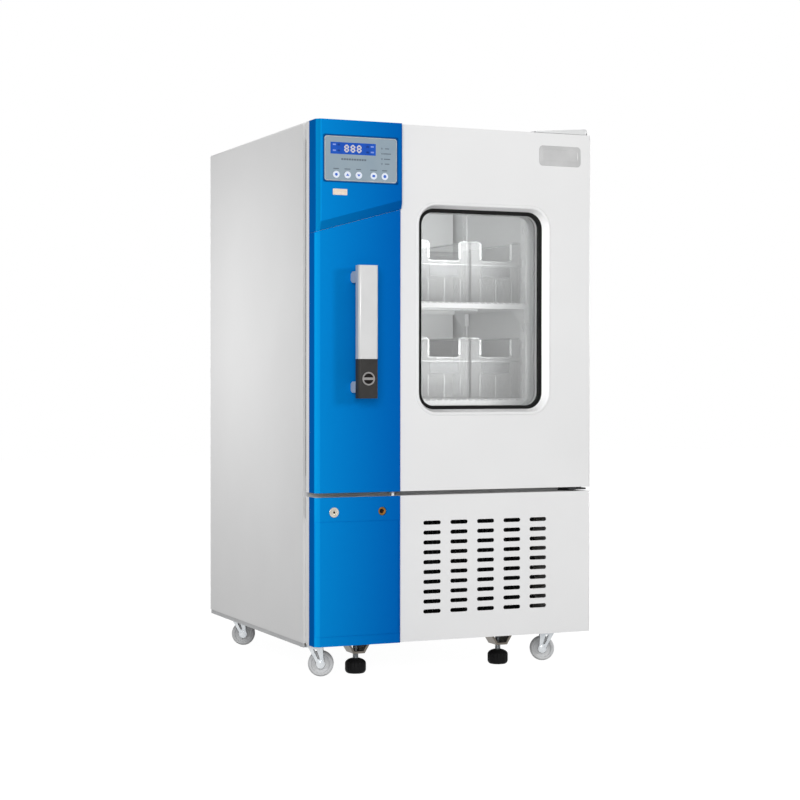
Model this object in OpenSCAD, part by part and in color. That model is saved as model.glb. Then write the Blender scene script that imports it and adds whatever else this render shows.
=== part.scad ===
// Blood bank refrigerator on swivel casters: an insulated cabinet with a glazed door,
// a blue control column down its left, and a slotted panel over the machine space.
// Millimetres. X is the width, Y runs from front to back, Z is up from the floor.

/* [Cabinet] */
// Width of the casing
case_w = 560; // [545:1:600]
// Depth of the casing without the door
case_d = 546; // [530:1:600]
// Height of the casing without the casters
case_h = 940; // [930:1:980]
// Height of the casing's bottom over the floor
ride_h = 67; // [66:0.5:74]
// Thickness of the casing's sheet steel
sheet_t = 1.2; // [0.8:0.1:1.6]
// Bend radius of the casing's edges
edge_r = 5; // [3:0.5:8]
// Width of the casing's folded front edge
flange_w = 22; // [18:1:26]
// Height of the slotted panel under the door
base_h = 266; // [255:1:275]
// Gap between the door and the slotted panel
door_gap = 8; // [7:0.5:10]

/* [Chamber] */
// Inside width of the cold chamber
chamber_w = 458; // [452:1:466]
// Thickness of the wall behind the chamber
back_t = 54; // [46:1:62]
// Height of the chamber's floor over the door's lower edge
sill_h = 47; // [42:1:52]
// Thickness of the roof over the chamber
roof_t = 57; // [52:1:64]
// Thickness of the chamber's liner
liner_t = 1.2; // [1:0.1:1.6]

/* [Shelves and drawers] */
// Height of the upper shelf over the chamber's floor
upper_shelf = 305; // [296:1:320]
// Height of the lower shelf over the chamber's floor
lower_shelf = 118; // [110:1:126]
// Distance of the shelves from the chamber's front
shelf_set = 92; // [86:1:100]
// Thickness of a shelf wire
wire_d = 3.6; // [3:0.2:4.4]
// Number of wires in one shelf
wire_count = 35; // [27:2:39]
// Depth of the shelf's edge strip
strip_h = 8.5; // [7:0.5:12]
// Width of one drawer
drawer_w = 108; // [100:1:109]
// Gap between two drawers
drawer_gap = 3; // [2:0.5:4]
// Height of one drawer
drawer_h = 118; // [104:1:122]
// Space between a drawer's end and the cover behind it
drawer_room = 16; // [8:1:30]
// Wall thickness of a drawer
drawer_t = 2.6; // [2:0.1:3.2]
// Width of the hand cut in a drawer's front
cut_w = 68; // [56:1:76]
// Depth of the hand cut in a drawer's front
cut_h = 38; // [28:1:46]

/* [Door] */
// Thickness of the door
door_t = 40; // [38:0.5:46]
// Space that the gasket holds between door and casing
gasket_t = 16; // [14:0.5:18]
// Drop of the door's top under the casing's top
door_drop = 1.5; // [1.2:0.1:3]
// Distance of the hinge line from the door's right edge
hinge_inset = 14; // [13:0.5:16]
// Height of the raised plug on the door's inside
plug_h = 20; // [14:0.5:24]
// Gap between the plug and the chamber's walls
plug_gap = 15; // [12:0.5:20]
// Diameter of the hinge pins
pin_d = 10; // [8:0.5:11]

/* [Window] */
// Width of the window frame
win_w = 277; // [260:1:290]
// Height of the window frame
win_h = 391; // [370:1:410]
// Corner radius of the window frame
win_r = 42; // [38:1:48]
// Middle of the window to the right of the door's middle
win_x = 56; // [50:0.5:58]
// Middle of the window over the door's lower edge
win_z = 332; // [326:1:338]
// Width of the frame's rounded lip
lip_w = 6.5; // [5:0.5:8]
// Height of the frame's rounded lip
lip_h = 1.6; // [1:0.1:2]
// Width of the frame from the lip's edge to the seal
bevel_w = 11.5; // [10:0.5:13]
// Depth of the seal behind the door's face
bevel_d = 14; // [12:0.5:16]
// Width of the black seal that shows
seal_w = 6.5; // [5.5:0.5:8]
// Thickness of one pane
glass_t = 4; // [3:0.5:5]

/* [Blue column] */
// Width of the blue covers
trim_w = 166; // [163:1:172]
// Wall thickness of the blue covers
trim_t = 2.5; // [2:0.1:3]
// Step from the door's face to the covers' face
trim_proud = 6; // [5:0.5:8]
// White strip left showing on the door's edge
trim_strip = 15; // [12:0.5:18]
// Width of the slanted edge down the covers' left
trim_cut = 8; // [7:0.5:12]
// Middle of the control column from the casing's left side
column_in = 84.5; // [84:0.5:86]
// Step from the cover's face to the control housing's face
house_proud = 7; // [5:0.5:9]
// Middle of the housing's lower edge under the door's top
house_drop = 176.5; // [168:0.5:184]
// Slope of the housing's lower edge in degrees
house_slant = 15.5; // [10:0.5:18]
// Height of the slope that leads into the housing
house_ramp = 16.5; // [10:0.5:20]

/* [Control panel] */
// Width of the control panel
panel_w = 140; // [134:1:144]
// Height of the control panel
panel_h = 80; // [74:1:84]
// Thickness of the control panel
panel_t = 2; // [1.6:0.1:2.4]
// Distance of the panel under the housing's top
panel_drop = 29; // [26:1:34]
// Width of the groove round the panel
panel_groove = 2.5; // [1.5:0.5:3]
// Width of the display
display_w = 87; // [78:1:90]
// Height of the display
display_h = 21; // [18:0.5:24]
// Diameter of a key
key_d = 12.6; // [10:0.2:13]
// Travel of a key
key_travel = 0.8; // [0.5:0.1:1]

/* [Handle] */
// Width of the handle
grip_w = 37.5; // [32:0.5:40]
// Depth of the handle
grip_d = 20; // [18:0.5:24]
// Finger space behind the handle
grip_gap = 24; // [22:0.5:30]
// Height of the whole handle
grip_h = 236; // [220:1:260]
// Height of the black lock block
lock_h = 70; // [60:1:80]
// Lower end of the handle over the door's lower edge
grip_z = 169; // [150:1:190]
// Diameter of the lock's rosette
rosette_d = 24; // [20:0.5:26]

/* [Slotted panel] */
// Width of a slot
slot_w = 35; // [30:0.5:40]
// Height of a slot
slot_h = 7.5; // [4:0.5:8]
// Slots side by side
slot_cols = 5; // [3:1:5]
// Slots one over the other
slot_rows = 10; // [6:1:10]
// Spacing of the slots across
slot_dx = 54.4; // [46:0.2:56]
// Spacing of the slots in height
slot_dz = 18; // [14:0.5:18.5]
// Middle of the slots to the right of the casing's middle
slot_x = 59.5; // [56:0.5:64]
// Diameter of the lower lock's ring
ring_d = 18; // [16:0.5:20]

/* [Casters and feet] */
// Diameter of a caster wheel
wheel_d = 47; // [42:1:49]
// Width of a caster wheel
wheel_w = 18; // [15:0.5:20]
// Trail of a wheel behind its swivel
trail = 20; // [16:0.5:24]
// Distance of the swivels from the casing's sides
caster_in = 29; // [28:0.5:33]
// Distance of the front swivels from the casing's front
caster_front = 41; // [41:1:54]
// Distance of the rear swivels from the casing's back
caster_rear = 64; // [54:1:68]
// Angle at which the casters stand
caster_turn = 23.5; // [0:0.5:40]
// Diameter of a levelling foot
foot_d = 39; // [34:0.5:42]
// Height of a levelling foot's knob
foot_h = 28; // [26:0.5:31]
// Diameter of a foot's stem
stem_d = 11; // [9:0.5:12]
// Left foot's distance from the casing's left side
foot_left = 120; // [112:1:132]
// Right foot's distance from the casing's right side
foot_right = 146; // [140:1:160]
// Distance of the feet from the casing's front
foot_front = 43; // [38:1:50]

/* [Hidden] */
$fn = 64;
seam = 0.5; // clearance between covers
rest_gap = 0.3; // clearance between bodies at rest
run = 0.05; // running clearance on a radius
half_w = case_w / 2;
case_top = ride_h + case_h;
door_z0 = ride_h + base_h + door_gap;
door_z1 = case_top - door_drop;
door_h = door_z1 - door_z0;
door_back = -gasket_t;
door_face = door_back - door_t;
trim_face = door_face - trim_proud;
house_face = trim_face - house_proud;
grip_back = trim_face - grip_gap;
grip_face = grip_back - grip_d;
mid_y = (case_d + grip_face) / 2;
base_z1 = ride_h + base_h;
trim_x0 = -half_w;
trim_x1 = trim_x0 + trim_w;
cut_d = trim_proud + 1; // keeps the slanted edge off the door's corner
column_x = -half_w + column_in;
deck_z = door_z0 + 4;
floor_z = door_z0 + sill_h;
roof_z = case_top - roof_t;
half_c = chamber_w / 2;
chamber_d = case_d - back_t;
hinge_x = half_w - hinge_inset;
hinge_y = door_back - door_t / 2;
pan_t = 1;
skin_t = 2;
bush_r = pin_d / 2 + 3;
bush_h = 18;
arm_t = 3;
plate_l = 92 + gasket_t;
plate_w = 36;
plate_in = 26;
lid_w = 119;
lid_h = 10.5;
win_cz = door_z0 + win_z;
hole_in = 3; // the frame's lip laps the door's face by this much
frame_deep = door_t - skin_t;
seal_t = 10;
pane_in = 3; // depth of the first pane in the seal
rib_in = bevel_w + seal_w - 1;
rib_z0 = bevel_d + seal_t;
pane2 = frame_deep - glass_t;
slant_z = door_z1 - house_drop;
panel_cz = door_z1 - panel_drop - panel_h / 2;
panel_face = house_face + 0.6;
key_z = -28.6;
key_x = [-47.4, -25.8, -4.2, 24.6, 46.2];
display_x = -14.7;
display_z = 18.4;
grip_z0 = door_z0 + grip_z;
grip_z1 = grip_z0 + grip_h;
block_z1 = grip_z0 + lock_h;
post_w = 20;
post_h = 20;
post_in = 2;
post_z = [grip_z0 + 20, grip_z1 - 20];
tongue_w = 18;
tongue_d = 9;
tongue_y = grip_back - 2;
rosette_z = grip_z0 + lock_h / 2;
lock_z = base_z1 - 26.5;
lock_x = column_x - 49;
port_x = column_x + 45;
port_r = 8;
groove_w = 1;
groove_d = 0.8;
slot_z = ride_h + base_h / 2 + 1.3;
evap_room = 56;
evap_w = 380;
evap_h = 300;
evap_z = 120;
cover_y = chamber_d - evap_room;
drawer_y = shelf_set + 30;
drawer_l = cover_y - drawer_room - drawer_y;
drawer_pitch = drawer_w + drawer_gap;
standard_w = 20;
standard_t = 4;
shelf_half = half_c - standard_t - 1;
shelf_back = cover_y - 6;
bracket_l = 52;
standard_y = [shelf_set + 28, shelf_back - 40];
swivel = [[-half_w + caster_in, caster_front, 0], [half_w - caster_in, caster_front, 180],
    [-half_w + caster_in, case_d - caster_rear, 0], [half_w - caster_in, case_d - caster_rear, 180]];
plate_t = 4;
race_h = 5;
fork_top = ride_h - plate_t - race_h - rest_gap;
fork_t = 2.5;
kingpin_r = 5;
axle_r = 4;
axle_z = wheel_d / 2;
feet = [[-half_w + foot_left, foot_front], [half_w - foot_right, foot_front]];
hat_z = foot_h + 10;
hat_w = 58;
hat_d = 36;
hat_t = 4;
nut_w = 22;
fan_at = [slot_x, 150, ride_h + 140];
fan_r = 88;
shaft_r = 4;
condenser_w = case_w - 290;
condenser_h = base_h - 60;
compressor_at = [half_w - 130, case_d - 166];
comp_r = 74;
comp_h = 96;
comp_foot = 164;
inlet_z = ride_h + 60;
louvre_dx = (case_w - 80) / 4;
louvre_w = louvre_dx * 0.75;
louvre_z = ride_h + 100;

// Puts the middle of the depth on the origin
module place() {
    translate([0, -mid_y, 0]) children();
}

// Rounded rectangle about its middle
module rounded(w, h, r) {
    square([w - 2 * r, h], center = true);
    square([w, h - 2 * r], center = true);
    for (x = [-1, 1], y = [-1, 1]) {
        translate([x * (w / 2 - r), y * (h / 2 - r)]) circle(r);
    }
}

// Block in plan with its two front corners rounded
module front_rounded(x0, x1, y0, y1, rl, rr) {
    translate([x0 + rl, y0]) square([x1 - x0 - rl - rr, y1 - y0]);
    translate([x0, y0 + rl]) square([rl, y1 - y0 - rl]);
    translate([x1 - rr, y0 + rr]) square([rr, y1 - y0 - rr]);
    translate([x0 + rl, y0 + rl]) circle(rl);
    translate([x1 - rr, y0 + rr]) circle(rr);
}

// Outline that faces the front, thickened backwards from a plane
module upright(y, t) {
    translate([0, y + t, 0]) rotate([90, 0, 0]) linear_extrude(t) children();
}

// Cylinder that points from the front to the back
module bolt(x, z, y, l, r) {
    translate([x, y, z]) rotate([-90, 0, 0]) cylinder(h = l, r = r);
}

// Section swept round a rounded rectangle that faces the front: its x is outwards, its y forwards
module front_ring(w, h, r) {
    rotate([90, 0, 0]) for (s = [0, 180]) rotate(s) {
        translate([w / 2, h / 2 - r, 0]) rotate([90, 0, 0]) linear_extrude(h - 2 * r) children();
        rotate(90) translate([h / 2, w / 2 - r, 0]) rotate([90, 0, 0]) linear_extrude(w - 2 * r) children();
        translate([w / 2 - r, h / 2 - r, 0]) rotate_extrude(angle = 90) translate([r, 0]) children();
        rotate(90) translate([h / 2 - r, w / 2 - r, 0]) rotate_extrude(angle = 90) translate([r, 0]) children();
    }
}

// Casing: sides and top wrapped from one sheet, with folded front edges and a rail under the chamber
module shell_outline(t) {
    difference() {
        translate([0, ride_h + case_h / 2]) rounded(case_w, case_h, edge_r);
        translate([0, ride_h + case_h / 2]) rounded(case_w - 2 * t, case_h - 2 * t, max(edge_r - t, 1));
        translate([-half_w + t, ride_h - 1]) square([case_w - 2 * t, case_h / 2]);
    }
    for (s = [-1, 1]) {
        translate([s * (half_w - t / 2) - t / 2, ride_h]) square([t, edge_r + 1]);
    }
}

module outer_shell() {
    color("#e4e4e4") {
        upright(0, case_d) shell_outline(sheet_t);
        upright(0, sheet_t) {
            shell_outline(flange_w);
            translate([-half_w + flange_w - 1, base_z1 - 24])
                square([case_w - 2 * flange_w + 2, deck_z - base_z1 + 24]);
        }
    }
}

// Outline inside the casing's sheet, from a height up to the roof
module inside_outline(z0) {
    intersection() {
        translate([0, ride_h + case_h / 2])
            rounded(case_w - 2 * sheet_t, case_h - 2 * sheet_t, max(edge_r - sheet_t, 1));
        translate([-half_w, z0]) square([case_w, case_h]);
    }
}

module back_panel() {
    color("#d8d8d8") upright(case_d - sheet_t, sheet_t) difference() {
        union() {
            inside_outline(ride_h + 20);
            translate([-half_w + sheet_t, ride_h]) square([case_w - 2 * sheet_t, 30]);
        }
        for (x = [-1, 0, 1], row = [0:7]) {
            translate([x * louvre_dx, louvre_z + row * 18]) rounded(louvre_w, 5, 2.4);
        }
        translate([-half_w + 90, inlet_z]) square([48, 28], center = true);
    }
}

module insulation_foam() {
    color("#d9c98a") difference() {
        upright(liner_t, case_d - sheet_t - liner_t) inside_outline(deck_z);
        translate([-half_c - liner_t, -1, floor_z - liner_t])
            cube([chamber_w + 2 * liner_t, chamber_d + liner_t + 1, roof_z - floor_z + 2 * liner_t]);
    }
}

module inner_liner() {
    color("#f0f0f0") {
        difference() {
            translate([-half_c - liner_t, 0, floor_z - liner_t])
                cube([chamber_w + 2 * liner_t, chamber_d + liner_t, roof_z - floor_z + 2 * liner_t]);
            translate([-half_c, -1, floor_z])
                cube([chamber_w, chamber_d + 1, roof_z - floor_z]);
        }
        upright(0, liner_t) difference() {
            translate([-half_w + flange_w, deck_z])
                square([case_w - 2 * flange_w, case_top - flange_w - deck_z]);
            translate([-half_c, floor_z]) square([chamber_w, roof_z - floor_z]);
        }
    }
}

// Bottom tray with a turned-up rim, and a lip under each side of the casing
module base_tray() {
    rim = 26;
    lip = 8;
    lip_t = 2.4;
    color("#8a8d90") difference() {
        union() {
            translate([-half_w + sheet_t, sheet_t, ride_h])
                cube([case_w - 2 * sheet_t, case_d - 2 * sheet_t, rim]);
            for (x = [-half_w + sheet_t, half_w - sheet_t - lip_t]) {
                translate([x, sheet_t, ride_h - lip]) cube([lip_t, case_d - 2 * sheet_t, lip + 1]);
            }
        }
        translate([-half_w + sheet_t + 2, sheet_t + 2, ride_h + 2])
            cube([case_w - 2 * sheet_t - 4, case_d - 2 * sheet_t - 4, rim]);
        for (f = feet) {
            translate([f[0], f[1], ride_h - 1]) cylinder(h = 4, d = stem_d + 4);
        }
    }
}

// Four caster plates with their raceways, and two bent brackets that hold the feet's stems
module base_brackets() {
    color("#b9bcbf") {
        for (s = swivel) {
            translate([s[0], s[1], 0]) difference() {
                union() {
                    translate([-24, -40, ride_h - plate_t]) cube([48, 84, plate_t]);
                    translate([0, 0, ride_h - plate_t - race_h]) cylinder(h = race_h + 0.5, d = 40);
                }
                translate([0, 0, ride_h - plate_t - race_h - 1]) cylinder(h = 20, r = kingpin_r + run);
            }
        }
        for (f = feet) {
            translate([f[0], f[1], 0]) difference() {
                rotate([90, 0, 0]) linear_extrude(hat_d, center = true) difference() {
                    polygon([[-nut_w / 2, hat_z], [nut_w / 2, hat_z], [hat_w / 2, ride_h], [-hat_w / 2, ride_h]]);
                    polygon([[2 - nut_w / 2, hat_z + hat_t], [nut_w / 2 - 2, hat_z + hat_t],
                        [hat_w / 2 - hat_t - 1, ride_h + 1], [hat_t + 1 - hat_w / 2, ride_h + 1]]);
                }
                translate([0, 0, hat_z - 1]) cylinder(h = hat_t + 2, r = stem_d / 2 + run);
            }
        }
    }
}

// White pan of the lower front, with its slots and a narrower rim that meets the casing
module pan_plan(x0, x1, t) {
    difference() {
        front_rounded(x0, x1, door_face, door_back, 3, 4);
        front_rounded(x0 + t, x1 - t, door_face + t, door_back + 1, 2, 3);
    }
}

module blue_notch(z0, z1) {
    translate([trim_x0 - 1, door_face - 1, z0])
        cube([1 + trim_t, door_t + 1 - trim_strip, z1 - z0]);
}

module lower_front_panel() {
    rim_in = 6;
    color("#ececec") {
        difference() {
            union() {
                translate([0, 0, ride_h]) linear_extrude(base_h) pan_plan(-half_w, half_w, sheet_t + trim_t);
                for (z = [ride_h, base_z1 - sheet_t]) {
                    translate([0, 0, z]) linear_extrude(sheet_t)
                        front_rounded(-half_w, half_w, door_face, door_back, 3, 4);
                }
            }
            translate([-half_w + sheet_t + trim_t, door_face + sheet_t, ride_h + sheet_t])
                cube([case_w - 2 * (sheet_t + trim_t), door_t, base_h - 2 * sheet_t]);
            blue_notch(ride_h - 1, base_z1 + 1);
            upright(door_face - 1, 20) {
                for (i = [0:slot_cols - 1], k = [0:slot_rows - 1]) {
                    translate([slot_x + (i - (slot_cols - 1) / 2) * slot_dx,
                        slot_z + (k - (slot_rows - 1) / 2) * slot_dz]) rounded(slot_w, slot_h, slot_h / 2 - 0.2);
                }
            }
            bolt(lock_x, lock_z, door_face - 1, 20, 7.5);
        }
        for (s = [-1, 1]) {
            translate([s * (half_w - rim_in) - (s > 0 ? 4 : 0), door_back - 0.4, ride_h])
                cube([4, gasket_t + 0.4, base_h - 40]);
        }
    }
}

// Blue cover in plan: a slanted edge at the left, a rounded one at the right, a wrap back along the door's edge
module column_outline(inset, face, back, right_r) {
    x0 = trim_x0 + inset;
    x1 = trim_x1 - inset;
    y0 = face + inset;
    polygon([[x0, back], [x0, y0 + cut_d - 0.5 * inset], [x0 + trim_cut - 0.65 * inset, y0],
        [x1 - right_r, y0], [x1 - right_r, back]]);
    translate([x1 - right_r, y0 + right_r]) square([right_r, back - y0 - right_r]);
    translate([x1 - right_r, y0 + right_r]) circle(right_r);
}

module column_plan(face) {
    wrap_y = door_back - trim_strip;
    difference() {
        column_outline(0, face, wrap_y, 4);
        column_outline(trim_t, face, wrap_y + 1, 2);
        translate([trim_x0 + trim_t, door_face]) square([trim_w, door_t]);
    }
}

module column_end(face) {
    difference() {
        column_outline(0, face, door_back - trim_strip, 4);
        translate([trim_x0 + trim_t, door_face]) square([trim_w, door_t]);
    }
}

// Shallow groove that frames the lower cover's field and runs on over the slanted edge
module groove_plan(x0, x1) {
    difference() {
        translate([x0, trim_face - 1]) square([x1 - x0, cut_d + 4]);
        column_outline(groove_d, trim_face, door_back, 4 - groove_d);
    }
}

module cover_groove() {
    x0 = trim_x0 + groove_w;
    x1 = trim_x1 - 5;
    z0 = ride_h + 17;
    z1 = base_z1 - 43;
    for (z = [z0, z1 - groove_w]) translate([0, 0, z]) linear_extrude(groove_w) groove_plan(x0, x1);
    for (x = [x0, x1 - groove_w]) translate([0, 0, z0]) linear_extrude(z1 - z0) groove_plan(x, x + groove_w);
}

module lower_blue_cover() {
    color("#0476c4") difference() {
        union() {
            translate([0, 0, ride_h]) linear_extrude(base_h) column_plan(trim_face);
            for (z = [ride_h, base_z1 - trim_t]) {
                translate([0, 0, z]) linear_extrude(trim_t) column_end(trim_face);
            }
        }
        cover_groove();
        bolt(lock_x, lock_z, trim_face - 1, 10, 7.5);
        bolt(port_x, lock_z, trim_face - 1, 10, port_r);
    }
}

module lower_lock_ring() {
    color("#c8c4ba") difference() {
        union() {
            bolt(lock_x, lock_z, trim_face - 2, 2, ring_d / 2);
            bolt(lock_x, lock_z, trim_face - 0.5, 18, 7.4);
        }
        bolt(lock_x, lock_z, trim_face - 5, 30, 5 + run);
    }
}

module lower_lock_plug() {
    color("#a9a9a6") difference() {
        union() {
            bolt(lock_x, lock_z, trim_face - 1.6, 20, 5);
            translate([lock_x - 4, trim_face + 18, lock_z - 20]) cube([8, 2.5, 22]);
        }
        bolt(lock_x, lock_z, trim_face - 2, 2.4, 2);
        translate([lock_x - 0.8, trim_face - 2, lock_z - 3.6]) cube([1.6, 3, 7.2]);
    }
}

module compressor() {
    color("#2a2b2d") translate([compressor_at[0], compressor_at[1], ride_h + 2]) {
        translate([0, 0, 12]) rotate_extrude() {
            square([comp_r, comp_h]);
            translate([0, comp_h]) square([comp_r - 14, 14]);
            translate([comp_r - 14, comp_h]) intersection() {
                circle(14);
                square(14);
            }
            translate([0, comp_h + 14]) square([comp_r / 2, 6]);
        }
        translate([-comp_foot / 2, -60, 8]) cube([comp_foot, 120, 4.5]);
        for (x = [-1, 1], y = [-48, 48]) translate([x * (comp_foot / 2 - 12), y, 0]) cylinder(h = 8.5, r = 11);
        translate([comp_r - 14, 0, 60]) rotate([0, 90, 0]) cylinder(h = 40, r = 5);
        translate([-comp_r - 24, -22, 40]) cube([40, 44, 50]);
    }
}

// Finned heat exchanger: a comb of fins between two end plates, with return bends outside them
module fin_block(w, d, h, fins) {
    pitch = (w - 24) / fins;
    linear_extrude(h) {
        translate([-w / 2, d / 2 - 2]) square([w, 4]);
        for (i = [0:fins]) translate([-w / 2 + 11.2 + i * pitch, 0]) square([1.6, d]);
    }
    for (s = [-1, 1]) translate([s * (w / 2 - 1.5) - 1.5, 0, 0]) cube([3, d, h]);
    for (s = [-1, 1], k = [0:4]) {
        translate([s * (w / 2 - 0.5), d / 2, h * (0.14 + 0.18 * k)]) rotate([90, 0, 0])
            rotate([0, 0, s > 0 ? -90 : 90]) rotate_extrude(angle = 180) translate([h * 0.05, 0]) circle(4);
    }
}

module condenser() {
    color("#6f7478") {
        translate([slot_x, 14, ride_h + 28]) fin_block(condenser_w, 40, condenser_h, 26);
        for (s = [-1, 1]) {
            translate([slot_x + s * (condenser_w / 2 - 25) - 10, 20, ride_h + 2]) cube([20, 28, 26.5]);
        }
    }
}

module fan_motor() {
    color("#3a3c3f") {
        translate([fan_at[0], fan_at[1], fan_at[2]]) rotate([-90, 0, 0]) {
            cylinder(h = 60, r = 34);
            translate([0, 0, -38]) cylinder(h = 39, r = shaft_r);
        }
        for (s = [-1, 1]) {
            translate([fan_at[0] + s * 22 - 4, fan_at[1] + 14, ride_h + 2]) cube([8, 30, fan_at[2] - ride_h - 24]);
        }
        translate([fan_at[0] - 40, fan_at[1] + 8, ride_h + 2]) cube([80, 42, 3]);
    }
}

module condenser_fan() {
    color("#4a4d50") translate([fan_at[0], fan_at[1], fan_at[2]]) rotate([-90, 0, 0]) difference() {
        union() {
            translate([0, 0, -36]) cylinder(h = 30, r = 20);
            for (k = [0:4]) rotate(72 * k) {
                translate([0, 0, -21]) rotate([28, 0, 0]) intersection() {
                    translate([12, -26, -1.2]) cube([fan_r, 52, 2.4]);
                    translate([0, 0, -20]) cylinder(h = 40, r = fan_r - 6);
                }
            }
        }
        translate([0, 0, -40]) cylinder(h = 60, r = shaft_r + run);
    }
}

module evaporator() {
    color("#b7bdc2") translate([0, cover_y + 14, floor_z + evap_z]) fin_block(evap_w, evap_room - 14, evap_h, 36);
}

module evaporator_cover() {
    top = roof_z - 6;
    low = floor_z + 30;
    color("#f2f2f2") {
        upright(cover_y, 2) difference() {
            translate([-half_c + 8, low]) square([chamber_w - 16, top - low]);
            for (x = [-3:3]) {
                translate([x * 54, top - 32]) rounded(40, 10, 4.8);
                translate([x * 54, low + 30]) rounded(40, 8, 3.8);
                translate([x * 54, low + 46]) rounded(40, 8, 3.8);
            }
        }
        for (s = [-1, 1]) {
            translate([s * (half_c - 9) - 1, cover_y + 1.5, low]) cube([2, chamber_d - cover_y - 1.5, top - low]);
        }
        translate([-evap_w / 2 + 10, cover_y + 1.5, floor_z + evap_z - 12]) cube([evap_w - 20, evap_room - 1.5, 2]);
    }
}

// Slotted standards on the chamber's walls, each with a bracket under both shelves
module shelf_supports() {
    z0 = floor_z + 12;
    z1 = roof_z - 12;
    color("#dcdcdc") for (s = [0, 1], i = [0, 1]) mirror([s, 0, 0]) {
        translate([half_c - standard_t, standard_y[i], 0]) rotate([90, 0, 90])
            linear_extrude(standard_t) difference() {
                translate([-standard_w / 2, z0]) square([standard_w, z1 - z0]);
                for (k = [0:15]) translate([0, z0 + 20 + k * 32]) square([4, 14], center = true);
            }
        for (h = [upper_shelf, lower_shelf]) {
            top = floor_z + h - strip_h - wire_d;
            translate([half_c - standard_t - 9, standard_y[i], 0]) rotate([90, 0, 90]) linear_extrude(9.2)
                polygon([[-24, top], [bracket_l - 24, top], [bracket_l - 24, top - 4],
                    [-8, top - 26], [-24, top - 26]]);
        }
    }
}

// One wire shelf: four edge strips, two cross rods and wires let a little into them
module shelf(top) {
    strip_z = top - wire_d + 1;
    low = top - wire_d - strip_h;
    pitch = (2 * shelf_half - 8) / (wire_count - 1);
    for (y = [shelf_set, shelf_back - 3]) {
        translate([-shelf_half, y, low]) cube([2 * shelf_half, 3, strip_z - low]);
    }
    for (s = [-1, 1]) {
        translate([s * (shelf_half - 1.5) - 1.5, shelf_set, low]) cube([3, shelf_back - shelf_set, strip_z - low]);
    }
    for (f = [0.33, 0.67]) {
        translate([-shelf_half + 1, shelf_set + f * (shelf_back - shelf_set), strip_z - 3])
            rotate([0, 90, 0]) cylinder(h = 2 * shelf_half - 2, r = 3.2);
    }
    for (i = [0:wire_count - 1]) {
        translate([-shelf_half + 4 + i * pitch, shelf_set - 1, top - wire_d / 2])
            rotate([-90, 0, 0]) cylinder(h = shelf_back - shelf_set + 2, d = wire_d);
    }
}

module shelves() {
    color("#f4f4f4") {
        shelf(floor_z + upper_shelf);
        shelf(floor_z + lower_shelf);
    }
}

// One drawer: five thin walls, the front one with a hand cut
module drawer(column, shelf_z) {
    z0 = shelf_z + rest_gap;
    x0 = (column - 2.5) * drawer_pitch - drawer_w / 2;
    color("#dfe6ea") difference() {
        translate([x0, drawer_y, z0]) cube([drawer_w, drawer_l, drawer_h]);
        translate([x0 + drawer_t, drawer_y + drawer_t, z0 + drawer_t])
            cube([drawer_w - 2 * drawer_t, drawer_l - 2 * drawer_t, drawer_h]);
        translate([x0 + drawer_w / 2, 0, z0 + drawer_h]) upright(drawer_y - 1, drawer_t + 2) {
            translate([0, 10]) rounded(cut_w, 2 * cut_h + 20, 10);
        }
    }
}

// Hinge plates on the cabinet, each with the pin that its end of the door turns on
module hinge_brackets() {
    arm_z = base_z1 + (door_gap - arm_t) / 2;
    color("#c4c6c8") {
        translate([hinge_x - plate_in, hinge_y - 10, case_top]) cube([plate_w, plate_l, arm_t]);
        translate([hinge_x, hinge_y, door_z1 - bush_h + 2]) cylinder(h = case_top - door_z1 + bush_h, d = pin_d);
        translate([hinge_x - plate_in, hinge_y - 10, arm_z]) cube([plate_w, 10 - hinge_y - 0.2, arm_t]);
        translate([hinge_x, hinge_y, arm_z + 1]) cylinder(h = door_z0 - arm_z + bush_h - 3, d = pin_d);
        translate([hinge_x - plate_in, -3, arm_z - 34]) cube([plate_w, 3, 35]);
    }
}

module cover_outline(x0, x1, r) {
    difference() {
        translate([(x0 + x1) / 2, 0]) rounded(x1 - x0, 2 * r, r - 0.5);
        translate([x0 - 1, -2 * r]) square([x1 - x0 + 2, 2 * r]);
        polygon([[x0 - 1, 0], [x0, 0], [x0, r * 0.16], [x1 - r, r], [x1 - r, r + 1], [x0 - 1, r + 1]]);
    }
}

module hinge_cover() {
    x0 = half_w - lid_w;
    y0 = hinge_y - 14;
    y1 = y0 + plate_l + 8;
    r = lid_h;
    color("#cfd0d0") difference() {
        intersection() {
            translate([0, 0, case_top]) upright(y0, y1 - y0) cover_outline(x0, half_w, r);
            translate([0, 0, case_top - 1]) linear_extrude(40) front_rounded(x0, half_w, y0, y1, 12, 12);
        }
        translate([0, 0, case_top - 0.01]) upright(y0 + 2, y1 - y0 - 4) cover_outline(x0 + 3, half_w - 2, r - 2);
        translate([hinge_x - plate_in - 1, y0 + 3, case_top - 1]) cube([plate_w + 2, plate_l + 2, arm_t + 1.2]);
    }
}

module power_inlet() {
    color("#1d1d1f") translate([-half_w + 90, case_d - 24, inlet_z]) {
        difference() {
            translate([-24, 0, -14]) cube([48, 24, 28]);
            translate([-14, 6, -9]) cube([28, 20, 18]);
        }
        for (x = [-7, 0, 7]) translate([x - 1, 5, x == 0 ? 1 : -4]) cube([2, 15, 4.5]);
    }
}

// Door: steel pan, foam core and inner liner, with the window through all three
module door_hole(inset, y, l) {
    translate([win_x, 0, win_cz]) upright(y, l) rounded(win_w - 2 * inset, win_h - 2 * inset, win_r - inset);
}

module bush_holes() {
    for (z = [door_z0 - 1, door_z1 - bush_h - run]) {
        translate([hinge_x, hinge_y, z]) cylinder(h = bush_h + 1 + run, r = bush_r + run);
    }
}

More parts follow.
